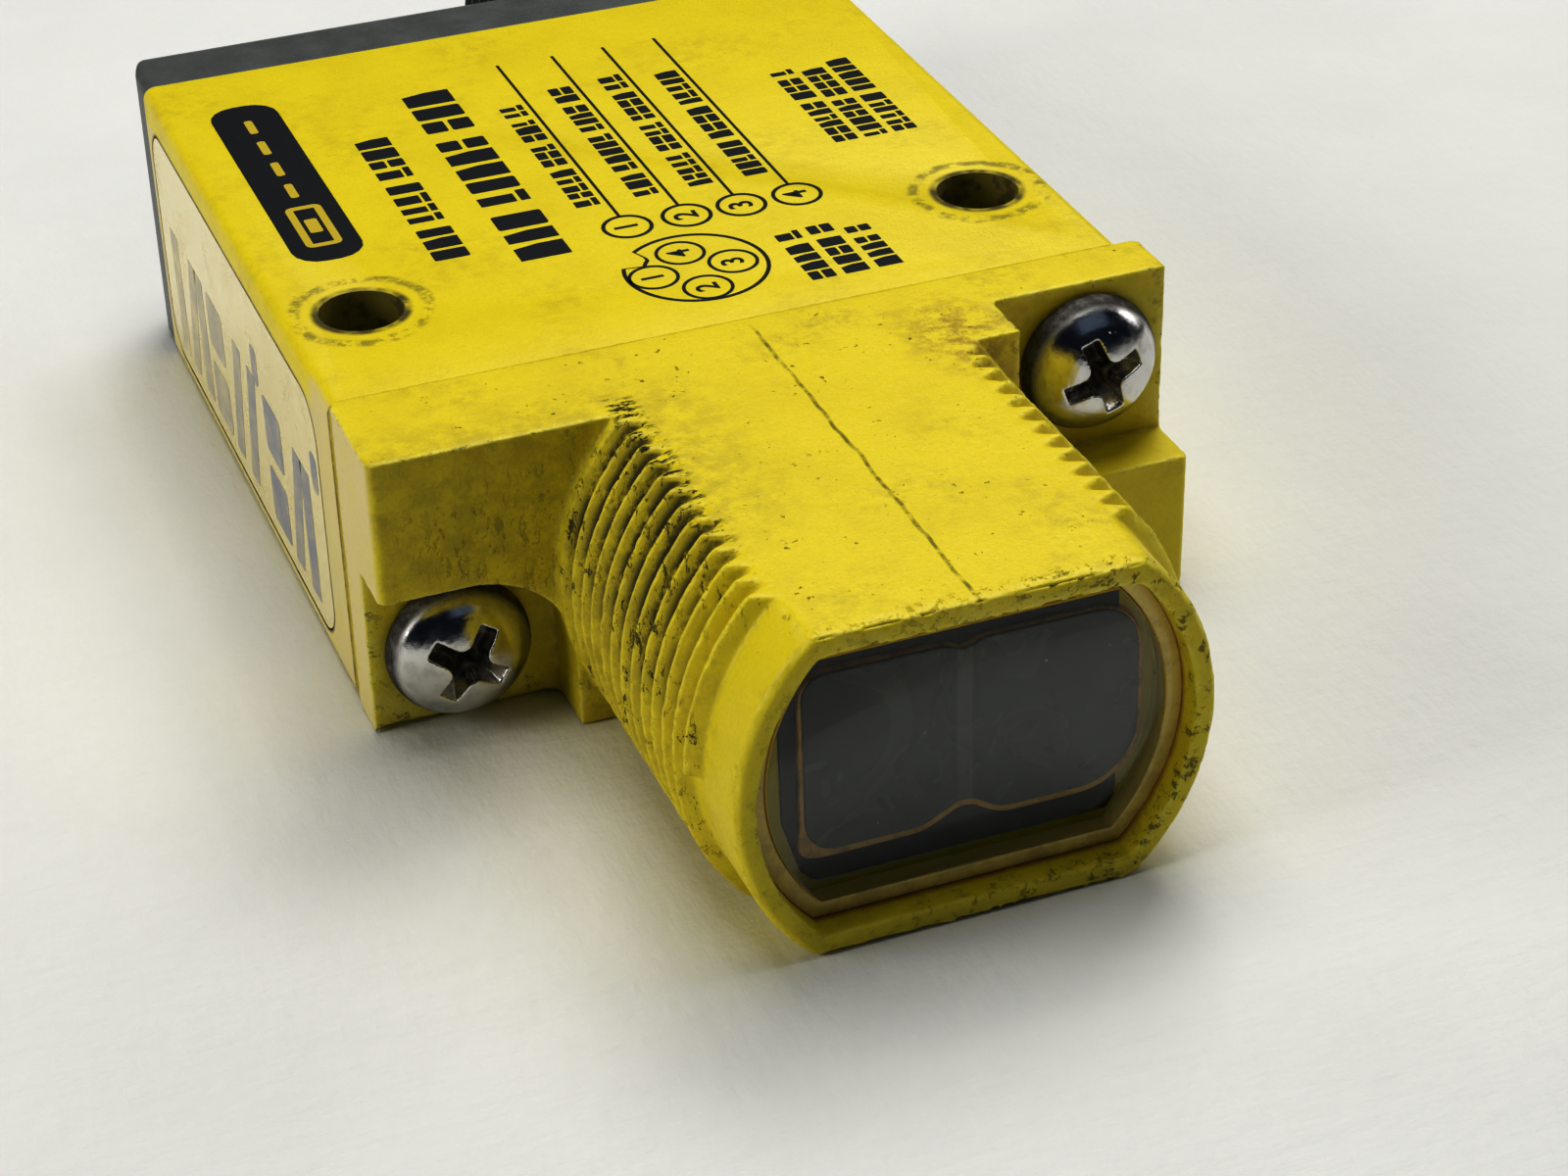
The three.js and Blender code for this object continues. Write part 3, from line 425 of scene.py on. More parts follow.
def clear_acrylic(name, rim=None):
    """Polished clear plastic with fine wipe marks and dust. Light from lamps passes it, to reach what lies
    behind. With a rim colour, the walls that do not face along Y are clouded in it."""
    tint = (0.96, 0.98, 0.95)
    f = Finish(name, tint, 0.04, IOR=1.49)
    wipe = f.noise(2.4, 4, 0.7, place=f.stretched(0.5, 1, 2.2))
    dust = f.patches((6, 4, 0.8), 0.68, 0.75)
    f.roughness(f.plus(f.band(wipe, 0.4, 0.8, 0.02, 0.07), f.times(dust, 0.25)))
    clarity = f.minus(1.0, f.times(dust, 0.35))
    if rim:
        front = f.band(f.facing("Y"), 0.70, 0.92)
        clarity = f.times(clarity, front)
        f.color(f.mix(front, rim, tint))
    f.set(f.shader, "Transmission Weight", clarity)
    f.bump(wipe, 0.0012)
    path = f.add("ShaderNodeLightPath")
    clear = f.add("ShaderNodeBsdfTransparent")
    clear.inputs["Color"].default_value = (*tint, 1.0)
    choice = f.add("ShaderNodeMixShader")
    f.set(choice, 0, path.outputs["Is Shadow Ray"])
    f.set(choice, 1, f.shader.outputs[0])
    f.set(choice, 2, clear.outputs[0])
    f.set(f.tree.nodes["Material Output"], "Surface", choice.outputs[0])
    return f.material


def smoked_window(name):
    """Smoked window, a little paler along the strip where its two halves meet, with a few bright specks."""
    f = Finish(name, (0.075, 0.080, 0.078), 0.25)
    x, _, z = f.axes()
    up = f.minus(z, AXIS_Z)
    cloud = f.noise(0.45, 3, 0.5, 1.2)
    color = f.mix(f.band(cloud, 0.35, 0.65), (0.074, 0.080, 0.079), (0.086, 0.092, 0.090))
    # the edge of the emitter's cone and of the receiver's shield behind the two halves
    cone = f.apart(f.length(f.plus(x, 4.4), f.minus(up, 0.9)), 2.5)
    cone = f.times(f.band(cone, 0.42, 0.34), f.band(x, -4.6, -3.0))
    shield = f.times(f.band(x, 0.60, 0.68), f.band(f.plus(up, f.times(x, 0.35)), 2.1, 2.2))
    shield = f.times(shield, f.band(f.length(x, f.minus(up, 3.0)), 3.15, 3.05))
    color = f.mix(f.times(f.most(cone, shield), 0.30), color, (0.17, 0.17, 0.16))
    strip = f.band(f.apart(x, 0.25), 0.29, 0.25)
    color = f.mix(strip, color, (0.155, 0.155, 0.145))
    dust = f.band(f.cells(0.9), 0.060, 0.030)
    f.color(f.mix(f.times(dust, 0.7), color, (0.45, 0.45, 0.42)))
    f.roughness(f.band(cloud, 0.3, 0.7, 0.20, 0.30))
    f.bump(f.noise(0.6, 2), 0.005)
    return f.material


def amber_bead(name):
    """Aged adhesive around the windows."""
    f = Finish(name, (0.80, 0.50, 0.12), 0.3)
    patches = f.patches((1.4, 4, 0.7), 0.42, 0.75)
    f.color(f.mix(patches, (0.85, 0.53, 0.12), (0.42, 0.22, 0.04)))
    f.bump(f.noise(4, 3), 0.02)
    return f.material


def lens_flange(name):
    """Cloudy rim of the lens, tinted by the plastic around it, with stains and specks."""
    f = Finish(name, (0.76, 0.62, 0.19), 0.22, Coat_Weight=0.3)
    stain = f.patches((0.8, 4, 0.7), 0.40, 0.75)
    color = f.mix(stain, (0.80, 0.65, 0.20), (0.52, 0.40, 0.12))
    f.color(f.mix(f.patches((5, 4, 0.8), 0.62, 0.70), color, (0.22, 0.15, 0.05)))
    f.roughness(f.band(stain, 0, 1, 0.18, 0.35))
    f.bump(f.noise(1.5, 3), 0.02)
    return f.material


def faded_ink(name, color):
    """Blue-grey ink on the side film, rubbed thin towards the connector."""
    f = Finish(name, color, 0.45)
    _, y, _ = f.axes()
    worn = f.plus(f.band(y, -4.0, 14.0, 0.10, 0.62), f.patches((0.6, 5, 0.75), 0.35, 0.7, -0.12, 0.28))
    f.color(f.mix(worn, color, (0.80, 0.70, 0.38)))
    f.bump(f.noise(12, 3), 0.006)
    return f.material


def ink(name, color):
    """Screen-printed ink, slightly thin in places."""
    f = Finish(name, color, 0.6, Specular_IOR_Level=0.25)
    thin = f.patches((5, 4, 0.75), 0.55, 0.8)
    f.color(f.mix(f.times(thin, 0.35), color, (0.10, 0.085, 0.02)))
    f.bump(f.noise(12, 3), 0.006)
    return f.material


def label_film(name):
    """Glossy yellow film, greyed by handling."""
    f = Finish(name, YELLOW, 0.22, IOR=1.5, Coat_Weight=0.2, Coat_Roughness=0.10)
    smear = f.noise(0.5, 4, 0.65)
    scuff = f.band(f.noise(3.5, 4, 0.75, place=f.stretched(1, 0.5, 1.5)), 0.58, 0.72)
    color = f.mix(f.band(smear, 0.35, 0.7), (0.88, 0.77, 0.37), (0.80, 0.69, 0.33))
    f.color(f.mix(f.times(scuff, 0.4), color, (0.30, 0.25, 0.12)))
    f.roughness(f.band(smear, 0.3, 0.8, 0.16, 0.34))
    f.bump(f.noise(0.9, 3), 0.02)
    return f.material


def rubber(name):
    """Matt black rubber with dusty pores."""
    f = Finish(name, (0.030, 0.030, 0.031), 0.7)
    grain = f.noise(16, 3)
    f.color(f.mix(f.band(grain, 0.45, 0.75), (0.026, 0.026, 0.027), (0.062, 0.060, 0.056)))
    f.bump(grain, 0.015)
    return f.material


def board_green(name):
    """Solder mask over copper tracks."""
    f = Finish(name, (0.01, 0.09, 0.03), 0.35)
    tracks = f.band(f.cells(0.8, feature="DISTANCE_TO_EDGE"), 0.05, 0.12)
    f.color(f.mix(tracks, (0.02, 0.16, 0.05), (0.008, 0.075, 0.025)))
    f.bump(tracks, 0.03)
    return f.material


def red_lens(name):
    """Tinted clear moulding of the indicator."""
    f = Finish(name, (0.75, 0.02, 0.015), 0.12, IOR=1.5, Transmission_Weight=0.6)
    f.roughness(f.patches((4, 3), 0.3, 0.8, 0.08, 0.2))
    f.bump(f.noise(3, 2), 0.01)
    return f.material


def floor_finish(name):
    """Pale matt paper with faint mottling, and painted shade that makes it a little darker towards the front
    right.
    """
    f = Finish(name, (0.78, 0.78, 0.755), 0.75)
    mottle = f.noise(0.05, 5, 0.6)
    x, y, _ = f.axes()
    color = f.mix(f.band(mottle, 0.3, 0.75), (0.80, 0.80, 0.775), (0.76, 0.76, 0.735))
    # painted shade: the paper darkens towards the front right
    far = f.minus(f.times(x, 0.75), f.times(y, 0.45))
    f.color(f.mix(f.band(far, 25.0, 110.0), color, (0.68, 0.675, 0.64)))
    weave = f.plus(f.noise(1.6, 3, 0.6, place=f.stretched(1, 0.35, 1)),
                   f.noise(1.6, 3, 0.6, place=f.stretched(0.35, 1, 1)))
    f.bump(weave, 0.05)
    f.bump(f.noise(0.25, 4, 0.55), 0.08)
    return f.material


FINISHES = {
    "yellow_worn": yellow_plastic("yellow_plastic_worn", True),
    "yellow": yellow_plastic("yellow_plastic_body", False),
    "dark_grey": dark_plastic("dark_grey_plastic", (0.105, 0.112, 0.108), 0.40),
    "black": dark_plastic("black_plastic", (0.034, 0.036, 0.040), 0.40, 0.02),
    "filter": smoked_window("smoked_window"),
    "amber": amber_bead("amber_bead"),
    "flange": lens_flange("lens_flange"),
    "white": dark_plastic("white_plastic", (0.62, 0.60, 0.54), 0.4),
    "clear": clear_acrylic("clear_acrylic"),
    "lens": clear_acrylic("lens_acrylic", rim=(0.96, 0.80, 0.30)),
    "red": red_lens("red_lens"),
    "label": label_film("label_film"),
    "rubber": rubber("black_rubber"),
    "steel": metal("stainless_steel", (0.63, 0.62, 0.60), 0.16),
    "screw_steel": screw_steel("stainless_steel_head"),
    "brass": metal("brass", (0.66, 0.44, 0.14), 0.25, 0.002),
    "gold": metal("gold_plate", (0.83, 0.58, 0.20), 0.2),
    "board": board_green("circuit_board"),
    "epoxy": dark_plastic("potting_epoxy", (0.030, 0.030, 0.030), 0.25, 0.0),
    "ink": ink("black_ink", (0.016, 0.018, 0.022)),
    "yellow_ink": ink("yellow_ink", (0.60, 0.47, 0.05)),
    "blue_ink": faded_ink("blue_grey_ink", (0.30, 0.31, 0.35)),
    "wire_brown": dark_plastic("wire_brown", (0.12, 0.045, 0.02), 0.4),
    "wire_white": dark_plastic("wire_white", (0.6, 0.58, 0.54), 0.4),
    "wire_blue": dark_plastic("wire_blue", (0.02, 0.06, 0.25), 0.4),
    "wire_black": dark_plastic("wire_black", (0.012, 0.012, 0.012), 0.4),
}

# finish, bevel width in millimetres, CAD nodes
DRESSES = (
    ("yellow", 0.09, "body_housing"),
    ("label", 0.0, "side_label"),
    ("clear", 0.05, "lens"),
    ("black", 0.0, "lens_mask light_baffle light_receiver wiper_carriage connector_shell"),
    ("filter", 0.0, "optical_filter"),
    ("clear", 0.0, "emitter_led"),
    ("board", 0.0, "optics_board main_board"),
    ("rubber", 0.0, "front_gasket rear_gasket control_lid_gasket connector_seal"),
    ("steel", 0.0, "cover_screw_left cover_screw_right control_lid_screw_left control_lid_screw_right"),
    ("brass", 0.0, "threaded_insert_left threaded_insert_right"),
    ("white", 0.0, "board_link"),
    ("epoxy", 0.0, "upper_potting lower_potting"),
    ("dark_grey", 0.07, "rear_cover"),
    ("white", 0.06, "trimmer_body"),
    ("brass", 0.04, "gain_screw"),
    ("black", 0.06, "selector_body"),
    ("white", 0.04, "selector_rotor"),
    ("red", 0.0, "indicator_led"),
    ("clear", 0.04, "control_lid"),
    ("black", 0.04, "contact_insert"),
    ("wire_brown", 0.0, "lead_wire_1"),
    ("wire_white", 0.0, "lead_wire_2"),
    ("wire_blue", 0.0, "lead_wire_3"),
    ("wire_black", 0.0, "lead_wire_4"),
)
NODE_FINISH = {node: (finish, bevel) for finish, bevel, nodes in DRESSES for node in nodes.split()}


def dress(name, finish, bevel):
    """Gives a CAD node its finish, rounded edges and smooth shading, all as modifiers over its own mesh."""
    node = NODES[name]
    mesh = node.data
    mesh.materials.clear()
    mesh.materials.append(FINISHES[finish])
    custom = mesh.attributes.get("custom_normal")
    if custom:
        mesh.attributes.remove(custom)
    mesh.polygons.foreach_set("use_smooth", [True] * len(mesh.polygons))
    weld = node.modifiers.new("weld", "WELD")
    weld.merge_threshold = 0.002 * MM
    if bevel:
        rounding = node.modifiers.new("rounding", "BEVEL")
        rounding.width = bevel * MM
        rounding.segments = 2
        rounding.limit_method = "ANGLE"
        rounding.angle_limit = math.radians(40)
    split = node.modifiers.new("split", "EDGE_SPLIT")
    split.split_angle = math.radians(32)


for node_name in NODES:
    if node_name == "lens_housing":
        continue
    plain = ("gold", 0.0) if node_name.startswith("contact_pin") else ("black", 0.05)
    dress(node_name, *NODE_FINISH.get(node_name, plain))


# ------------------------------------------------------------------ mesh tools


def linked(name, data):
    thing = bpy.data.objects.new(name, data)
    SCENE.collection.objects.link(thing)
    return thing


def evaluated(carrier):
    """The carrier's mesh with its modifiers applied; the carrier itself is removed."""
    graph = bpy.context.evaluated_depsgraph_get()
    result = bpy.data.meshes.new_from_object(carrier.evaluated_get(graph))
    bpy.data.objects.remove(carrier)
    return result


def new_object(name, mesh, finish):
    """A piece of the housing body."""
    piece = linked(name, mesh)
    mesh.materials.clear()
    mesh.materials.append(FINISHES[finish])
    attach(piece, BODY)
    return piece


def after_modifiers(mesh, modifiers):
    """The mesh that a list of (type, settings) modifiers makes of the given one."""
    carrier = linked("carrier", mesh)
    for kind, settings in modifiers:
        modifier = carrier.modifiers.new(kind.lower(), kind)
        for key, value in settings.items():
            setattr(modifier, key, value)
    return evaluated(carrier)


def mesh_from(bm, name):
    mesh = bpy.data.meshes.new(name)
    bm.to_mesh(mesh)
    bm.free()
    return mesh


def neighbours(outline):
    """Index pairs round a closed outline."""
    return [(i, (i + 1) % len(outline)) for i in range(len(outline))]


def bridge(bm, first, second):
    """Faces between two closed loops of vertices."""
    for i, k in neighbours(first):
        bm.faces.new((first[i], first[k], second[k], second[i]))


def coordinates(mesh):
    co = np.empty(len(mesh.vertices) * 3, np.float32)
    mesh.vertices.foreach_get("co", co)
    return co.reshape(-1, 3).astype(float)


def edge_ends(mesh):
    ends = np.empty(len(mesh.edges) * 2, np.int32)
    mesh.edges.foreach_get("vertices", ends)
    return ends.reshape(-1, 2)


def place_vertices(mesh, co):
    mesh.vertices.foreach_set("co", co.astype(np.float32).ravel())


def shade_smooth(mesh):
    mesh.polygons.foreach_set("use_smooth", [True] * len(mesh.polygons))


def vertex_normals(mesh):
    normals = np.empty(len(mesh.vertices) * 3, np.float32)
    mesh.vertex_normals.foreach_get("vector", normals)
    return normals.reshape(-1, 3).astype(float)


def smoothed(co, edges, rounds, share=0.5):
    """Moves each vertex towards the mean of its neighbours."""
    ends = np.concatenate([edges, edges[:, ::-1]])
    count = np.maximum(np.bincount(ends[:, 0], minlength=len(co)), 1)
    for _ in range(rounds):
        mean = np.stack([np.bincount(ends[:, 0], co[ends[:, 1], k], len(co)) / count for k in range(3)], 1)
        co = co + share * (mean - co)
    return co


def lattice_noise(points, scale, seed):
    """Smooth value noise from 0 to 1 at each point, with cells of 1 / scale."""
    p = points * scale + seed * 17.31
    cell = np.floor(p).astype(np.int64)
    t = p - cell
    t = t * t * (3 - 2 * t)
    total = np.zeros(len(points))
    for corner in np.ndindex(2, 2, 2):
        c = cell + np.array(corner)
        key = (c[:, 0] * 73856093) ^ (c[:, 1] * 19349663) ^ (c[:, 2] * 83492791) ^ (seed * 2654435761)
        key = (key ^ (key >> 13)) * 1274126177
        value = ((key ^ (key >> 16)) & 0xFFFF) / 65535.0
        weight = np.prod(np.where(np.array(corner) == 1, t, 1 - t), axis=1)
        total += weight * value
    return total


def step(value, low, high):
    t = np.clip((value - low) / (high - low), 0, 1)
    return t * t * (3 - 2 * t)


# ------------------------------------------------------------------ worn lens housing


def rounded_barrel(co):
    """Moves points of the faceted barrel out from its chords onto the true circle."""
    x, z = co[:, 0], co[:, 2] - AXIS_Z
    radius = np.hypot(x, z)
    facet = 2 * math.pi / BARREL_SIDES
    angle = np.arctan2(z, x) % facet - facet / 2
    outside = (co[:, 1] < SHOULDER_Y) & (radius > 8.15) & (np.abs(z) < 6.05)
    grow = np.where(outside, np.cos(angle) / math.cos(facet / 2), 1.0)
    result = co.copy()
    result[:, 0] = x * grow
    result[:, 2] = AXIS_Z + z * grow
    return result


def worn_lens_housing():
    """The lens housing with softened, chipped edges. Attributes ridge and groove mark them for the finish."""
    source = NODES["lens_housing"].data.copy()
    source.transform(Matrix.Scale(1 / MM, 4))
    mesh = after_modifiers(source, [
        ("WELD", {"merge_threshold": 0.002}),
        ("REMESH", {"mode": "VOXEL", "voxel_size": HOUSING_VOXEL, "adaptivity": 0.02}),
    ])
    edges = edge_ends(mesh)
    co = rounded_barrel(smoothed(coordinates(mesh), edges, 1))
    place_vertices(mesh, co)
    mesh.update()
    normals = vertex_normals(mesh)
    around = smoothed(co, edges, 14)
    stands_out = np.einsum("ij,ij->i", co - around, normals)
    ridge = step(stands_out, 0.015, 0.09)
    groove = step(-stands_out, 0.010, 0.07)
    barrel = step(-co[:, 1], -SHOULDER_Y, -SHOULDER_Y + 0.6)
    radius = np.hypot(co[:, 0], co[:, 2] - AXIS_Z)
    outside = np.maximum(step(radius, 7.9, 8.3), step(np.abs(co[:, 2] - AXIS_Z), 5.6, 5.9))
    rim = step(-co[:, 1], -TIP_Y - 1.6, -TIP_Y - 0.4) * outside
    barrel *= 0.25 + 0.75 * outside
    fine = lattice_noise(co, 3.1, 1) * 0.6 + lattice_noise(co, 7.3, 2) * 0.4
    coarse = lattice_noise(co, 0.9, 3)
    medium = lattice_noise(co, 1.7, 4)
    chips = step(fine, 0.50, 0.72) * step(coarse, 0.38, 0.72)
    worn_down = 0.012 + 0.03 * fine + barrel * 0.11 * step(medium, 0.35, 0.8) + 0.05 * rim * medium
    depth = ridge * (worn_down + (0.05 + 0.10 * barrel + 0.12 * rim) * chips)
    burrs = ridge * step(lattice_noise(co, 2.3, 7), 0.72, 0.92) * (0.02 + 0.10 * rim)
    pitted = 0.010 * (lattice_noise(co, 4.3, 8) - 0.5) + 0.012 * (lattice_noise(co, 1.3, 9) - 0.5)
    co += normals * (burrs + pitted - depth)[:, None]
    co = smoothed(co, edges, 1, 0.25)
    low, high = box_mm("lens_housing")
    co = np.clip(co, low, high)
    far = np.maximum(np.hypot(co[:, 0], co[:, 2] - AXIS_Z) / BARREL_RADIUS, 1.0)[:, None]
    on_axis = co * (0, 1, 0) + (0, 0, AXIS_Z)
    co = np.where((co[:, 1] < SHOULDER_Y - 0.1)[:, None], on_axis + (co - on_axis) / far, co)
    place_vertices(mesh, co)
    for name, values in (("ridge", ridge), ("groove", groove)):
        attribute = mesh.attributes.new(name, "FLOAT", "POINT")
        attribute.data.foreach_set("value", values.astype(np.float32))
    mesh.transform(Matrix.Scale(MM, 4))
    shade_smooth(mesh)
    piece = new_object("lens_housing_worn", mesh, "yellow_worn")
    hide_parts("lens_housing")


worn_lens_housing()


# ------------------------------------------------------------------ lens


def soft_outline(corners, steps=6):
    """Closed (x, z) outline through corners given as (x, z, reach), each rounded over that reach."""
    outline = []
    for i, (x, z, reach) in enumerate(corners):
        here = np.array((x, z))
        before = np.array(corners[i - 1][:2]) - here
        after = np.array(corners[(i + 1) % len(corners)][:2]) - here
        first = here + before * min(reach / np.linalg.norm(before), 0.48)
        last = here + after * min(reach / np.linalg.norm(after), 0.48)
        for t in np.linspace(0, 1, steps + 1):
            outline.append((1 - t) ** 2 * first + 2 * t * (1 - t) * here + t * t * last)
    return np.array(outline)


def grown(outline, distance):
    """A counter-clockwise outline moved outwards."""
    along = np.roll(outline, -1, 0) - np.roll(outline, 1, 0)
    along /= np.linalg.norm(along, axis=1)[:, None]
    return outline + distance * np.stack([along[:, 1], -along[:, 0]], 1)


def flatted(radius, half_height, sides=48):
    """Outline of a circle cut off above and below, counter-clockwise."""
    first = math.asin(half_height / radius)
    right = np.linspace(-first, first, sides)
    angles = np.concatenate([right, right + math.pi])
    return np.stack([radius * np.cos(angles), radius * np.sin(angles)], 1)


def plate(name, outline, y0, y1, finish, bevel, hole=None):
    """A plate across the barrel between two distances behind its tip, with rounded edges."""
    bm = bmesh.new()
    rings = []
    for line in (outline,) if hole is None else (outline, hole):
        rings.append([[bm.verts.new((x, TIP_Y + y, AXIS_Z + z)) for x, z in line] for y in (y0, y1)])
        bridge(bm, *rings[-1])
    for level in (0, 1):
        if hole is None:
            bm.faces.new(rings[0][level])
        else:
            bridge(bm, rings[0][level], rings[1][level])
    bmesh.ops.recalc_face_normals(bm, faces=bm.faces)
    mesh = after_modifiers(mesh_from(bm, name), [
        ("BEVEL", {"width": bevel, "segments": 3, "limit_method": "ANGLE", "angle_limit": math.radians(40)}),
        ("TRIANGULATE", {"quad_method": "BEAUTY", "ngon_method": "BEAUTY"}),
    ])
    mesh.transform(Matrix.Scale(MM, 4))
    shade_smooth(mesh)
    mesh.set_sharp_from_angle(angle=math.radians(20))
    piece = new_object(name, mesh, finish)
    return piece


def lens_assembly():
    """The clear plug in its tinted flange, the black mask behind it and the smoked windows in their bead."""
    plug = plate("lens_plug", flatted(6.98, 4.68), 0.95, 2.5, "lens", 0.05)
    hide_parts("lens")
    plate("lens_flange", flatted(7.62, 5.31), 1.0, 2.5, "flange", 0.10,
          hole=flatted(7.0, 4.70))
    mask = plate("lens_mask_plate", soft_outline([
        (-5.93, -2.0, 0.2), (-5.35, -3.95, 0.2), (-4.85, -4.42, 0.2), (5.5, -4.42, 0.2), (5.65, -3.8, 0.2),
        (5.65, 4.05, 0.2), (5.5, 4.72, 0.2), (-4.85, 4.72, 0.2), (-5.93, 3.4, 0.2),
    ]), 2.72, 2.92, "black", 0.03)
    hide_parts("lens_mask")
    window = soft_outline([
        (-5.25, -2.6, 0.6), (-4.6, -3.3, 0.5), (-1.2, -3.3, 0.5), (-0.1, -2.72, 0.25), (0.25, -2.66, 0.1),
        (0.6, -2.72, 0.15), (1.5, -3.3, 0.5), (5.1, -3.3, 0.9), (6.35, -2.1, 0.9), (6.35, 2.2, 0.9),
        (5.5, 3.2, 0.8), (0.9, 3.2, 0.3), (0.25, 2.92, 0.3), (-0.4, 3.2, 0.3), (-4.8, 3.2, 0.4),
        (-5.25, 2.7, 0.3),
    ])
    pads = plate("lens_windows", window, 2.54, 2.9, "filter", 0.05)
    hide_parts("optical_filter")
    bead = grown(window, 0.12) + (0.02, -0.11)
    corner = np.exp(-((bead - (-5.2, -3.0)) ** 2).sum(1) / 0.5)[:, None]
    plate("window_bead", bead + corner * (-0.25, -0.30), 2.60, 2.88, "amber", 0.04)
    turned = flatted(7.05, 4.95)
    plate("lens_seat_ring", turned, 2.80, 3.02, "yellow_worn", 0.03,
          hole=turned * (0.76, 0.86))


# ------------------------------------------------------------------ cover screws


def lathe(profile, sides):
    """A solid of revolution about Y from a profile of (radius, y) that starts and ends on the axis."""
    bm = bmesh.new()
    rings = []
    for radius, y in profile:
        if radius == 0:
            rings.append([bm.verts.new((0, y, 0))])
            continue
        angles = [2 * math.pi * i / sides for i in range(sides)]
        rings.append([bm.verts.new((radius * math.cos(a), y, radius * math.sin(a))) for a in angles])
    for low, high in zip(rings, rings[1:]):
        for i in range(sides):
            k = (i + 1) % sides
            corners = [low[i % len(low)], low[k % len(low)], high[k % len(high)], high[i % len(high)]]
            bm.faces.new(list(dict.fromkeys(corners)))
    bmesh.ops.recalc_face_normals(bm, faces=bm.faces)
    return bm


def cross_outline(reach, half_width, fillet, steps=5):
    """Outline of a cross recess in the XZ plane, with the metal between its wings rounded off."""
    outline = []
    for quarter in range(4):
        corner = [(reach, half_width)]
        middle = half_width + fillet
        for i in range(steps + 1):
            angle = math.radians(270 - 90 * i / steps)
            corner.append((middle + fillet * math.cos(angle), middle + fillet * math.sin(angle)))
        corner.append((half_width, reach))
        turn = quarter * math.pi / 2
        for a, b in corner:
            outline.append((a * math.cos(turn) - b * math.sin(turn), a * math.sin(turn) + b * math.cos(turn)))
    return outline


def cross_cutter(turn, top, depth):
    """Tapered plug of the cross recess, from above the head at y = top down into it."""
    bm = bmesh.new()
    rings = []
    outline = cross_outline(1.62, 0.37, 0.40)
    cos, sin = math.cos(turn), math.sin(turn)
    for share, scale in ((-0.3, 1.06), (0.15, 0.98), (0.62, 0.74), (0.85, 0.46), (1.0, 0.16)):
        y = top + share * depth
        rings.append([bm.verts.new((scale * (a * cos + b * sin), y, scale * (b * cos - a * sin)))
                      for a, b in outline])
    for low, high in zip(rings, rings[1:]):
        bridge(bm, low, high)
    bm.faces.new(rings[0])
    bm.faces.new(rings[-1])
    bmesh.ops.recalc_face_normals(bm, faces=bm.faces)
    return bm


def fine_screw(node, turn):
    """A polished pan-head screw with a crisp cross recess, in the place of the CAD screw."""
    low, high = box_mm(node)
    x, z = (low[0] + high[0]) / 2, (low[2] + high[2]) / 2
    radius = (high[0] - low[0]) / 2
    face, height = low[1], 1.85
    seat, rows = face + height, 14
    profile = [(0, high[1]), (0.85, high[1]), (1.42, high[1] - 0.4), (1.42, seat), (radius - 0.1, seat)]
    profile.append((radius, seat - 0.10))
    for i in range(rows):
        t = i / rows * math.pi / 2
        profile.append((radius * math.cos(t) ** 0.95, seat - 0.18 - (height - 0.18) * math.sin(t)))
    profile.append((0, face))
    cutter = linked("cutter", mesh_from(cross_cutter(math.radians(turn), face, 1.45), "cutter"))
    mesh = after_modifiers(mesh_from(lathe(profile, 96), "blank"), [
        ("BOOLEAN", {"operation": "DIFFERENCE", "object": cutter, "solver": "EXACT"}),
        ("REMESH", {"mode": "VOXEL", "voxel_size": SCREW_VOXEL, "adaptivity": 0.01}),
    ])
    bpy.data.objects.remove(cutter)
    co = smoothed(coordinates(mesh), edge_ends(mesh), 2)
    nicks = lattice_noise(co, 1.7, 5) * 0.012 + lattice_noise(co, 5.0, 6) * 0.006
    co[:, 1] += nicks * (co[:, 1] < seat - 0.3)
    place_vertices(mesh, co)
    mesh.transform(Matrix.Translation((x * MM, 0, z * MM)) @ Matrix.Scale(MM, 4))
    shade_smooth(mesh)
    piece = new_object(node + "_fine", mesh, "screw_steel")
    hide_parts(node)


lens_assembly()
fine_screw("cover_screw_left", -56)
fine_screw("cover_screw_right", -21)


# ------------------------------------------------------------------ printing


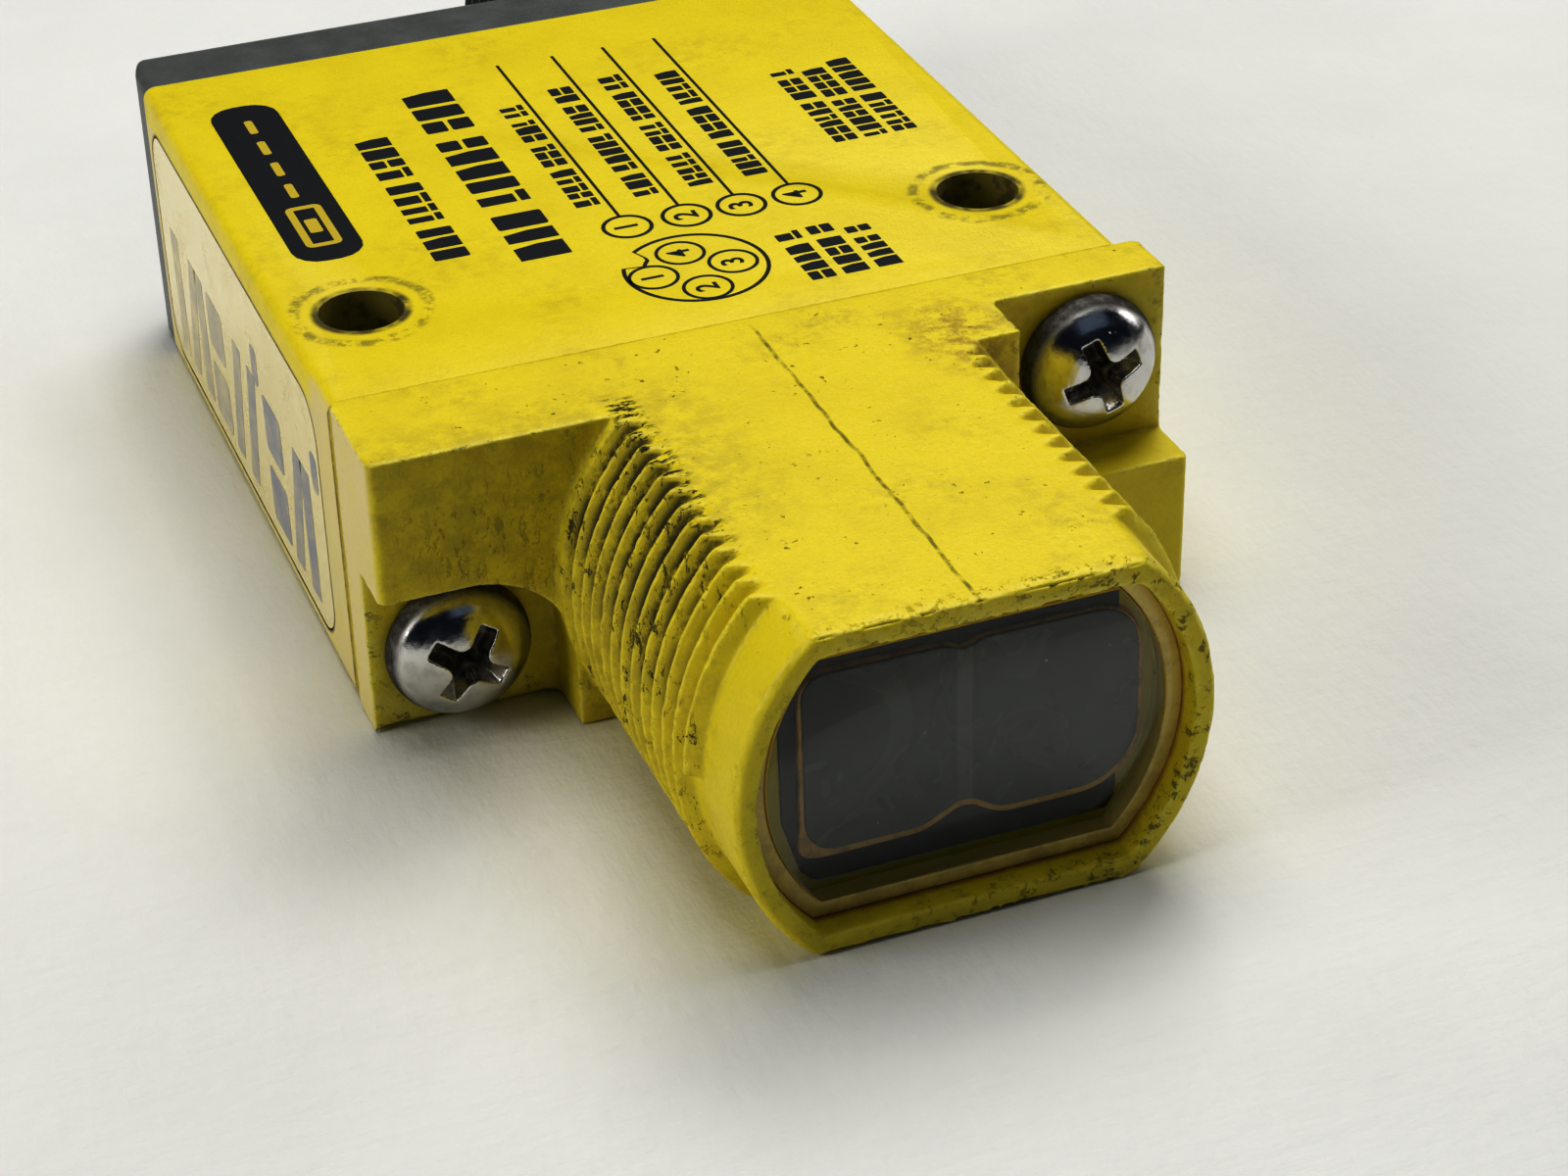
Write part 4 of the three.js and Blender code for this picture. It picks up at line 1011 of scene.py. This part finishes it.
class Print:
    """Thin printed shapes on one face, gathered in one mesh. origin, across and up place the face's axes."""

    def __init__(self, origin, across, up, lift=0.012):
        self.bm = bmesh.new()
        self.origin = Vector(origin)
        self.across = Vector(across)
        self.up = Vector(up)
        self.out = self.across.cross(self.up)
        self.lift = lift

    def point(self, u, v, height=0.0):
        return self.bm.verts.new((self.origin + self.across * u + self.up * v + self.out * height) * MM)

    def area(self, outline):
        """A filled outline of (u, v) points, counter-clockwise."""
        foot = [self.point(u, v) for u, v in outline]
        top = [self.point(u, v, self.lift) for u, v in outline]
        self.bm.faces.new(top)
        self.bm.faces.new(foot[::-1])
        bridge(self.bm, foot, top)

    def band(self, outer, inner):
        """The strip between two outlines with the same number of points."""
        rings = [[self.point(u, v, h) for u, v in line] for line in (outer, inner) for h in (0.0, self.lift)]
        outer_foot, outer_top, inner_foot, inner_top = rings
        for i, k in neighbours(outer):
            self.bm.faces.new((outer_top[i], outer_top[k], inner_top[k], inner_top[i]))
            self.bm.faces.new((inner_foot[i], inner_foot[k], outer_foot[k], outer_foot[i]))
            self.bm.faces.new((outer_foot[i], outer_foot[k], outer_top[k], outer_top[i]))
            self.bm.faces.new((inner_top[i], inner_top[k], inner_foot[k], inner_foot[i]))

    def rect(self, u0, v0, u1, v1, corner=0.0):
        self.area(rounded(u0, v0, u1, v1, corner))

    def frame_rect(self, u0, v0, u1, v1, line, corner=0.2):
        inner = rounded(u0 + line, v0 + line, u1 - line, v1 - line, max(corner - line, 0.02))
        self.band(rounded(u0, v0, u1, v1, corner), inner)

    def ring(self, u, v, radius, line, sides=40):
        self.band(circle(u, v, radius, sides), circle(u, v, radius - line, sides))

    def digit(self, text, u, v, size):
        """A numeral centred on (u, v)."""
        curve = bpy.data.curves.new("numeral", "FONT")
        curve.body = text
        curve.size = size
        curve.align_x = "CENTER"
        curve.align_y = "CENTER"
        curve.resolution_u = 3
        curve.offset = 0.012 * size
        curve.extrude = self.lift / 2
        mesh = evaluated(linked("numeral", curve))
        corners = [self.point(u + a, v + b, c + self.lift / 2) for a, b, c in coordinates(mesh)]
        for polygon in mesh.polygons:
            self.bm.faces.new([corners[i] for i in polygon.vertices])

    def words(self, u, v, length, height, seed, big=False):
        """A made-up line of unreadable marks, standing for print: small blocks in word-like groups."""
        random = np.random.default_rng(seed)
        at = u
        while at < u + length - 0.2 * height:
            for _ in range(random.integers(3, 7)):
                width = height * random.uniform(0.42, 0.72)
                if at + width > u + length:
                    return
                cut = height * (0.24 if big else 0.3)
                style = random.integers(0, 4)
                right, top, waist = at + width, v + height, v + height / 2
                if style == 0:
                    self.rect(at, v, right, top, 0.06 * height)
                elif style == 1:
                    self.rect(at, v, right, waist - 0.2 * cut, 0.05 * height)
                    self.rect(at, waist + 0.2 * cut, right, top, 0.05 * height)
                elif style == 2:
                    self.area([(at, v), (right, v), (right, waist), (right - 0.4 * cut, top), (at, top)])
                else:
                    self.rect(at, v, right, v + 0.8 * cut, 0.02)
                    self.rect(at, v + 1.15 * cut, right - 0.5 * cut, top, 0.02)
                at += width + 0.16 * height
            at += 0.35 * height

    def finish(self, name, finish, slot):
        piece = new_object(name, mesh_from(self.bm, name), finish)
        return piece


def circle(u, v, radius, sides):
    return [(u + radius * math.cos(2 * math.pi * i / sides), v + radius * math.sin(2 * math.pi * i / sides))
            for i in range(sides)]


def rounded(u0, v0, u1, v1, corner, steps=4):
    """Rectangle with round corners, counter-clockwise."""
    if corner <= 0:
        return [(u0, v0), (u1, v0), (u1, v1), (u0, v1)]
    outline = []
    for u, v, start in ((u1 - corner, v1 - corner, 0), (u0 + corner, v1 - corner, 90),
                        (u0 + corner, v0 + corner, 180), (u1 - corner, v0 + corner, 270)):
        for i in range(steps + 1):
            angle = math.radians(start + 90 * i / steps)
            outline.append((u + corner * math.cos(angle), v + corner * math.sin(angle)))
    return outline


def top_print():
    """Print on the upper wide face. It reads along +Y with its top towards -X."""
    face = Print((0, 0, HOUSING_HIGH[2]), (0, 1, 0), (-1, 0, 0))
    # a plain dark plate, which badge_symbol marks with a beam
    face.rect(-2.2, 10.85, 12.5, 13.55, 1.1)
    # two headings
    face.words(-3.9, 7.5, 11.9, 1.35, 11, big=True)
    face.words(-5.2, 4.0, 16.0, 1.95, 23, big=True)
    # four wiring lines, each ending in a numbered ring
    for index, x in enumerate((-1.45, 0.9, 3.1, 5.35)):
        face.ring(-4.05, -x, 0.98, 0.15)
        face.digit(str(index + 1), -4.05, -x, 1.3)
        face.rect(-3.08, -x - 0.06, 12.1, -x + 0.06)
        face.words(-1.8, 0.28 - x, 10.6 + 0.3 * index, 0.95, 41 + index)
    # face view of the connector: keyed ring and four numbered contacts
    centre_u, centre_v, radius, key = -8.2, 0.25, 2.72, math.radians(56)
    outer, inner = [], []
    for i in range(72):
        angle = 2 * math.pi * i / 72
        away = abs((angle - key + math.pi) % (2 * math.pi) - math.pi)
        dent = 0.75 * (1 - step(np.array(away), 0.17, 0.24))
        for line, r in ((outer, radius - dent), (inner, radius - dent - 0.15)):
            line.append((centre_u + r * math.cos(angle), centre_v + r * math.sin(angle)))
    face.band(outer, inner)
    for text, (u, v) in zip("1234", ((-8.35, 1.95), (-9.85, 0.4), (-8.3, -1.15), (-6.9, 0.4))):
        face.ring(u, v, 0.95, 0.13)
        face.digit(text, u, v, 1.2)
    # two blocks of small print
    for row in range(3):
        face.words(-10.9, -4.2 - 1.3 * row, 4.2, 0.95, 61 + row)
        face.words(-0.4, -9.4 - 1.25 * row, 7.6, 0.95, 71 + row)
    face.finish("top_print", "ink", "black_plastic")


def badge_symbol():
    """A light box and a dashed beam on the dark plate."""
    face = Print((0, 0, HOUSING_HIGH[2]), (0, 1, 0), (-1, 0, 0), lift=0.018)
    face.frame_rect(-1.0, 11.5, 2.6, 12.9, 0.3, 0.3)
    face.rect(0.2, 11.95, 1.4, 12.45, 0.1)
    for i in range(4):
        face.rect(3.4 + 2.1 * i, 12.03, 4.7 + 2.1 * i, 12.37, 0.12)
    face.finish("badge_symbol", "yellow_ink", "yellow_plastic")


def side_print():
    """Bold marks on the film of the narrow left face, reading towards the lens."""
    face = Print((LABEL_LOW[0], 0, 0), (0, -1, 0), (0, 0, 1), lift=0.01)
    middle = (LABEL_LOW[2] + LABEL_HIGH[2]) / 2 - 1.55
    low, high = middle - 2.7, middle + 2.7
    u = -13.6
    for kind in ("bar", "slant", "bar", "block", "slant", "slant", "dot", "block", "slant", "bar", "dot"):
        if kind == "bar":
            face.rect(u, low, u + 1.3, high, 0.1)
            u += 1.9
        elif kind == "block":
            face.rect(u, low, u + 2.6, middle - 0.35, 0.3)
            face.rect(u, middle + 0.35, u + 2.6, high, 0.3)
            u += 3.2
        elif kind == "dot":
            face.rect(u, high - 0.1, u + 0.9, high + 1.5, 0.3)
            u += 1.3
        else:
            face.area([(u, low), (u + 1.2, low), (u + 2.5, high), (u + 1.3, high)])
            u += 2.3
    face.finish("side_print", "blue_ink", "label_film")


top_print()
badge_symbol()
side_print()


# ------------------------------------------------------------------ floor, light and camera


def make_floor():
    bm = bmesh.new()
    bmesh.ops.create_grid(bm, x_segments=1, y_segments=1, size=1.5)
    mesh = mesh_from(bm, "floor")
    mesh.materials.append(floor_finish("pale_paper"))
    floor = linked("floor", mesh)
    floor.location.z = -0.02 * MM


def make_light(name, place, size, watts, color):
    """A rectangular lamp aimed at the part's origin."""
    data = bpy.data.lights.new(name, "AREA")
    data.shape = "RECTANGLE"
    data.size, data.size_y = (side * MM for side in size)
    data.energy = watts
    data.color = color
    light = linked(name, data)
    light.location = Vector(place) * MM
    light.rotation_euler = (Vector((0, 0, 0)) - Vector(place)).to_track_quat("-Z", "Y").to_euler()


def make_world():
    """Soft surroundings: light behind and above the part, a dim bluish room in front of it."""
    world = bpy.data.worlds.new("studio")
    world.use_nodes = True
    tree = world.node_tree
    background = tree.nodes["Background"]
    direction = tree.nodes.new("ShaderNodeTexCoord").outputs["Generated"]
    axes = tree.nodes.new("ShaderNodeSeparateXYZ")
    behind = tree.nodes.new("ShaderNodeMapRange")
    behind.interpolation_type = "SMOOTHSTEP"
    behind.inputs["From Min"].default_value = -0.35
    behind.inputs["From Max"].default_value = 0.55
    mix = tree.nodes.new("ShaderNodeMix")
    mix.data_type = "RGBA"
    mix.inputs[6].default_value = (0.30, 0.42, 0.70, 1.0)
    mix.inputs[7].default_value = (1.0, 1.0, 1.0, 1.0)
    tree.links.new(direction, axes.inputs[0])
    tree.links.new(axes.outputs["Y"], behind.inputs["Value"])
    tree.links.new(behind.outputs[0], mix.inputs[0])
    tree.links.new(mix.outputs[2], background.inputs["Color"])
    background.inputs["Strength"].default_value = 0.043
    SCENE.world = world


def make_lights():
    make_light("ceiling", (0, 60, 520), (320, 320), 1.50, (1.0, 0.995, 0.98))
    make_light("window", (200, 230, 430), (260, 200), 1.15, (1.0, 0.99, 0.97))
    make_light("left_card", (-450, 0, 200), (240, 240), 1.08, (1.0, 0.99, 0.97))
    make_light("right_card", (450, 0, 200), (240, 240), 0.42, (1.0, 0.99, 0.97))
    make_light("front_panel", (120, -330, 420), (380, 300), 0.08, (0.62, 0.76, 1.0))


def make_camera():
    """Camera at the photograph's viewing angle: from the front left, 32 degrees above the horizon."""
    place = Vector((-37.365, -114.237, 69.184))
    aim = Vector((-1.954, -20.863, 6.1))
    roll = math.radians(-1.45)
    data = bpy.data.cameras.new("camera")
    data.sensor_width = 36.0
    data.lens = 79.09
    data.clip_start, data.clip_end = 5 * MM, 10.0
    camera = linked("camera", data)
    camera.location = place * MM
    look = (aim - place).to_track_quat("-Z", "Y").to_matrix()
    camera.rotation_euler = (look @ Matrix.Rotation(roll, 3, "Z")).to_euler()
    SCENE.camera = camera


def make_tone():
    """A camera's tone curve: deeper shadows and clear highlights."""
    view = SCENE.view_settings
    view.view_transform = "Standard"
    view.use_curve_mapping = True
    curve = view.curve_mapping.curves[3]
    for point in TONE_CURVE:
        curve.points.new(*point)
    view.curve_mapping.update()


TONE_CURVE = ((0.1, 0.032), (0.25, 0.125), (0.5, 0.354), (0.75, 0.65))

make_floor()
make_world()
make_lights()
make_camera()
make_tone()
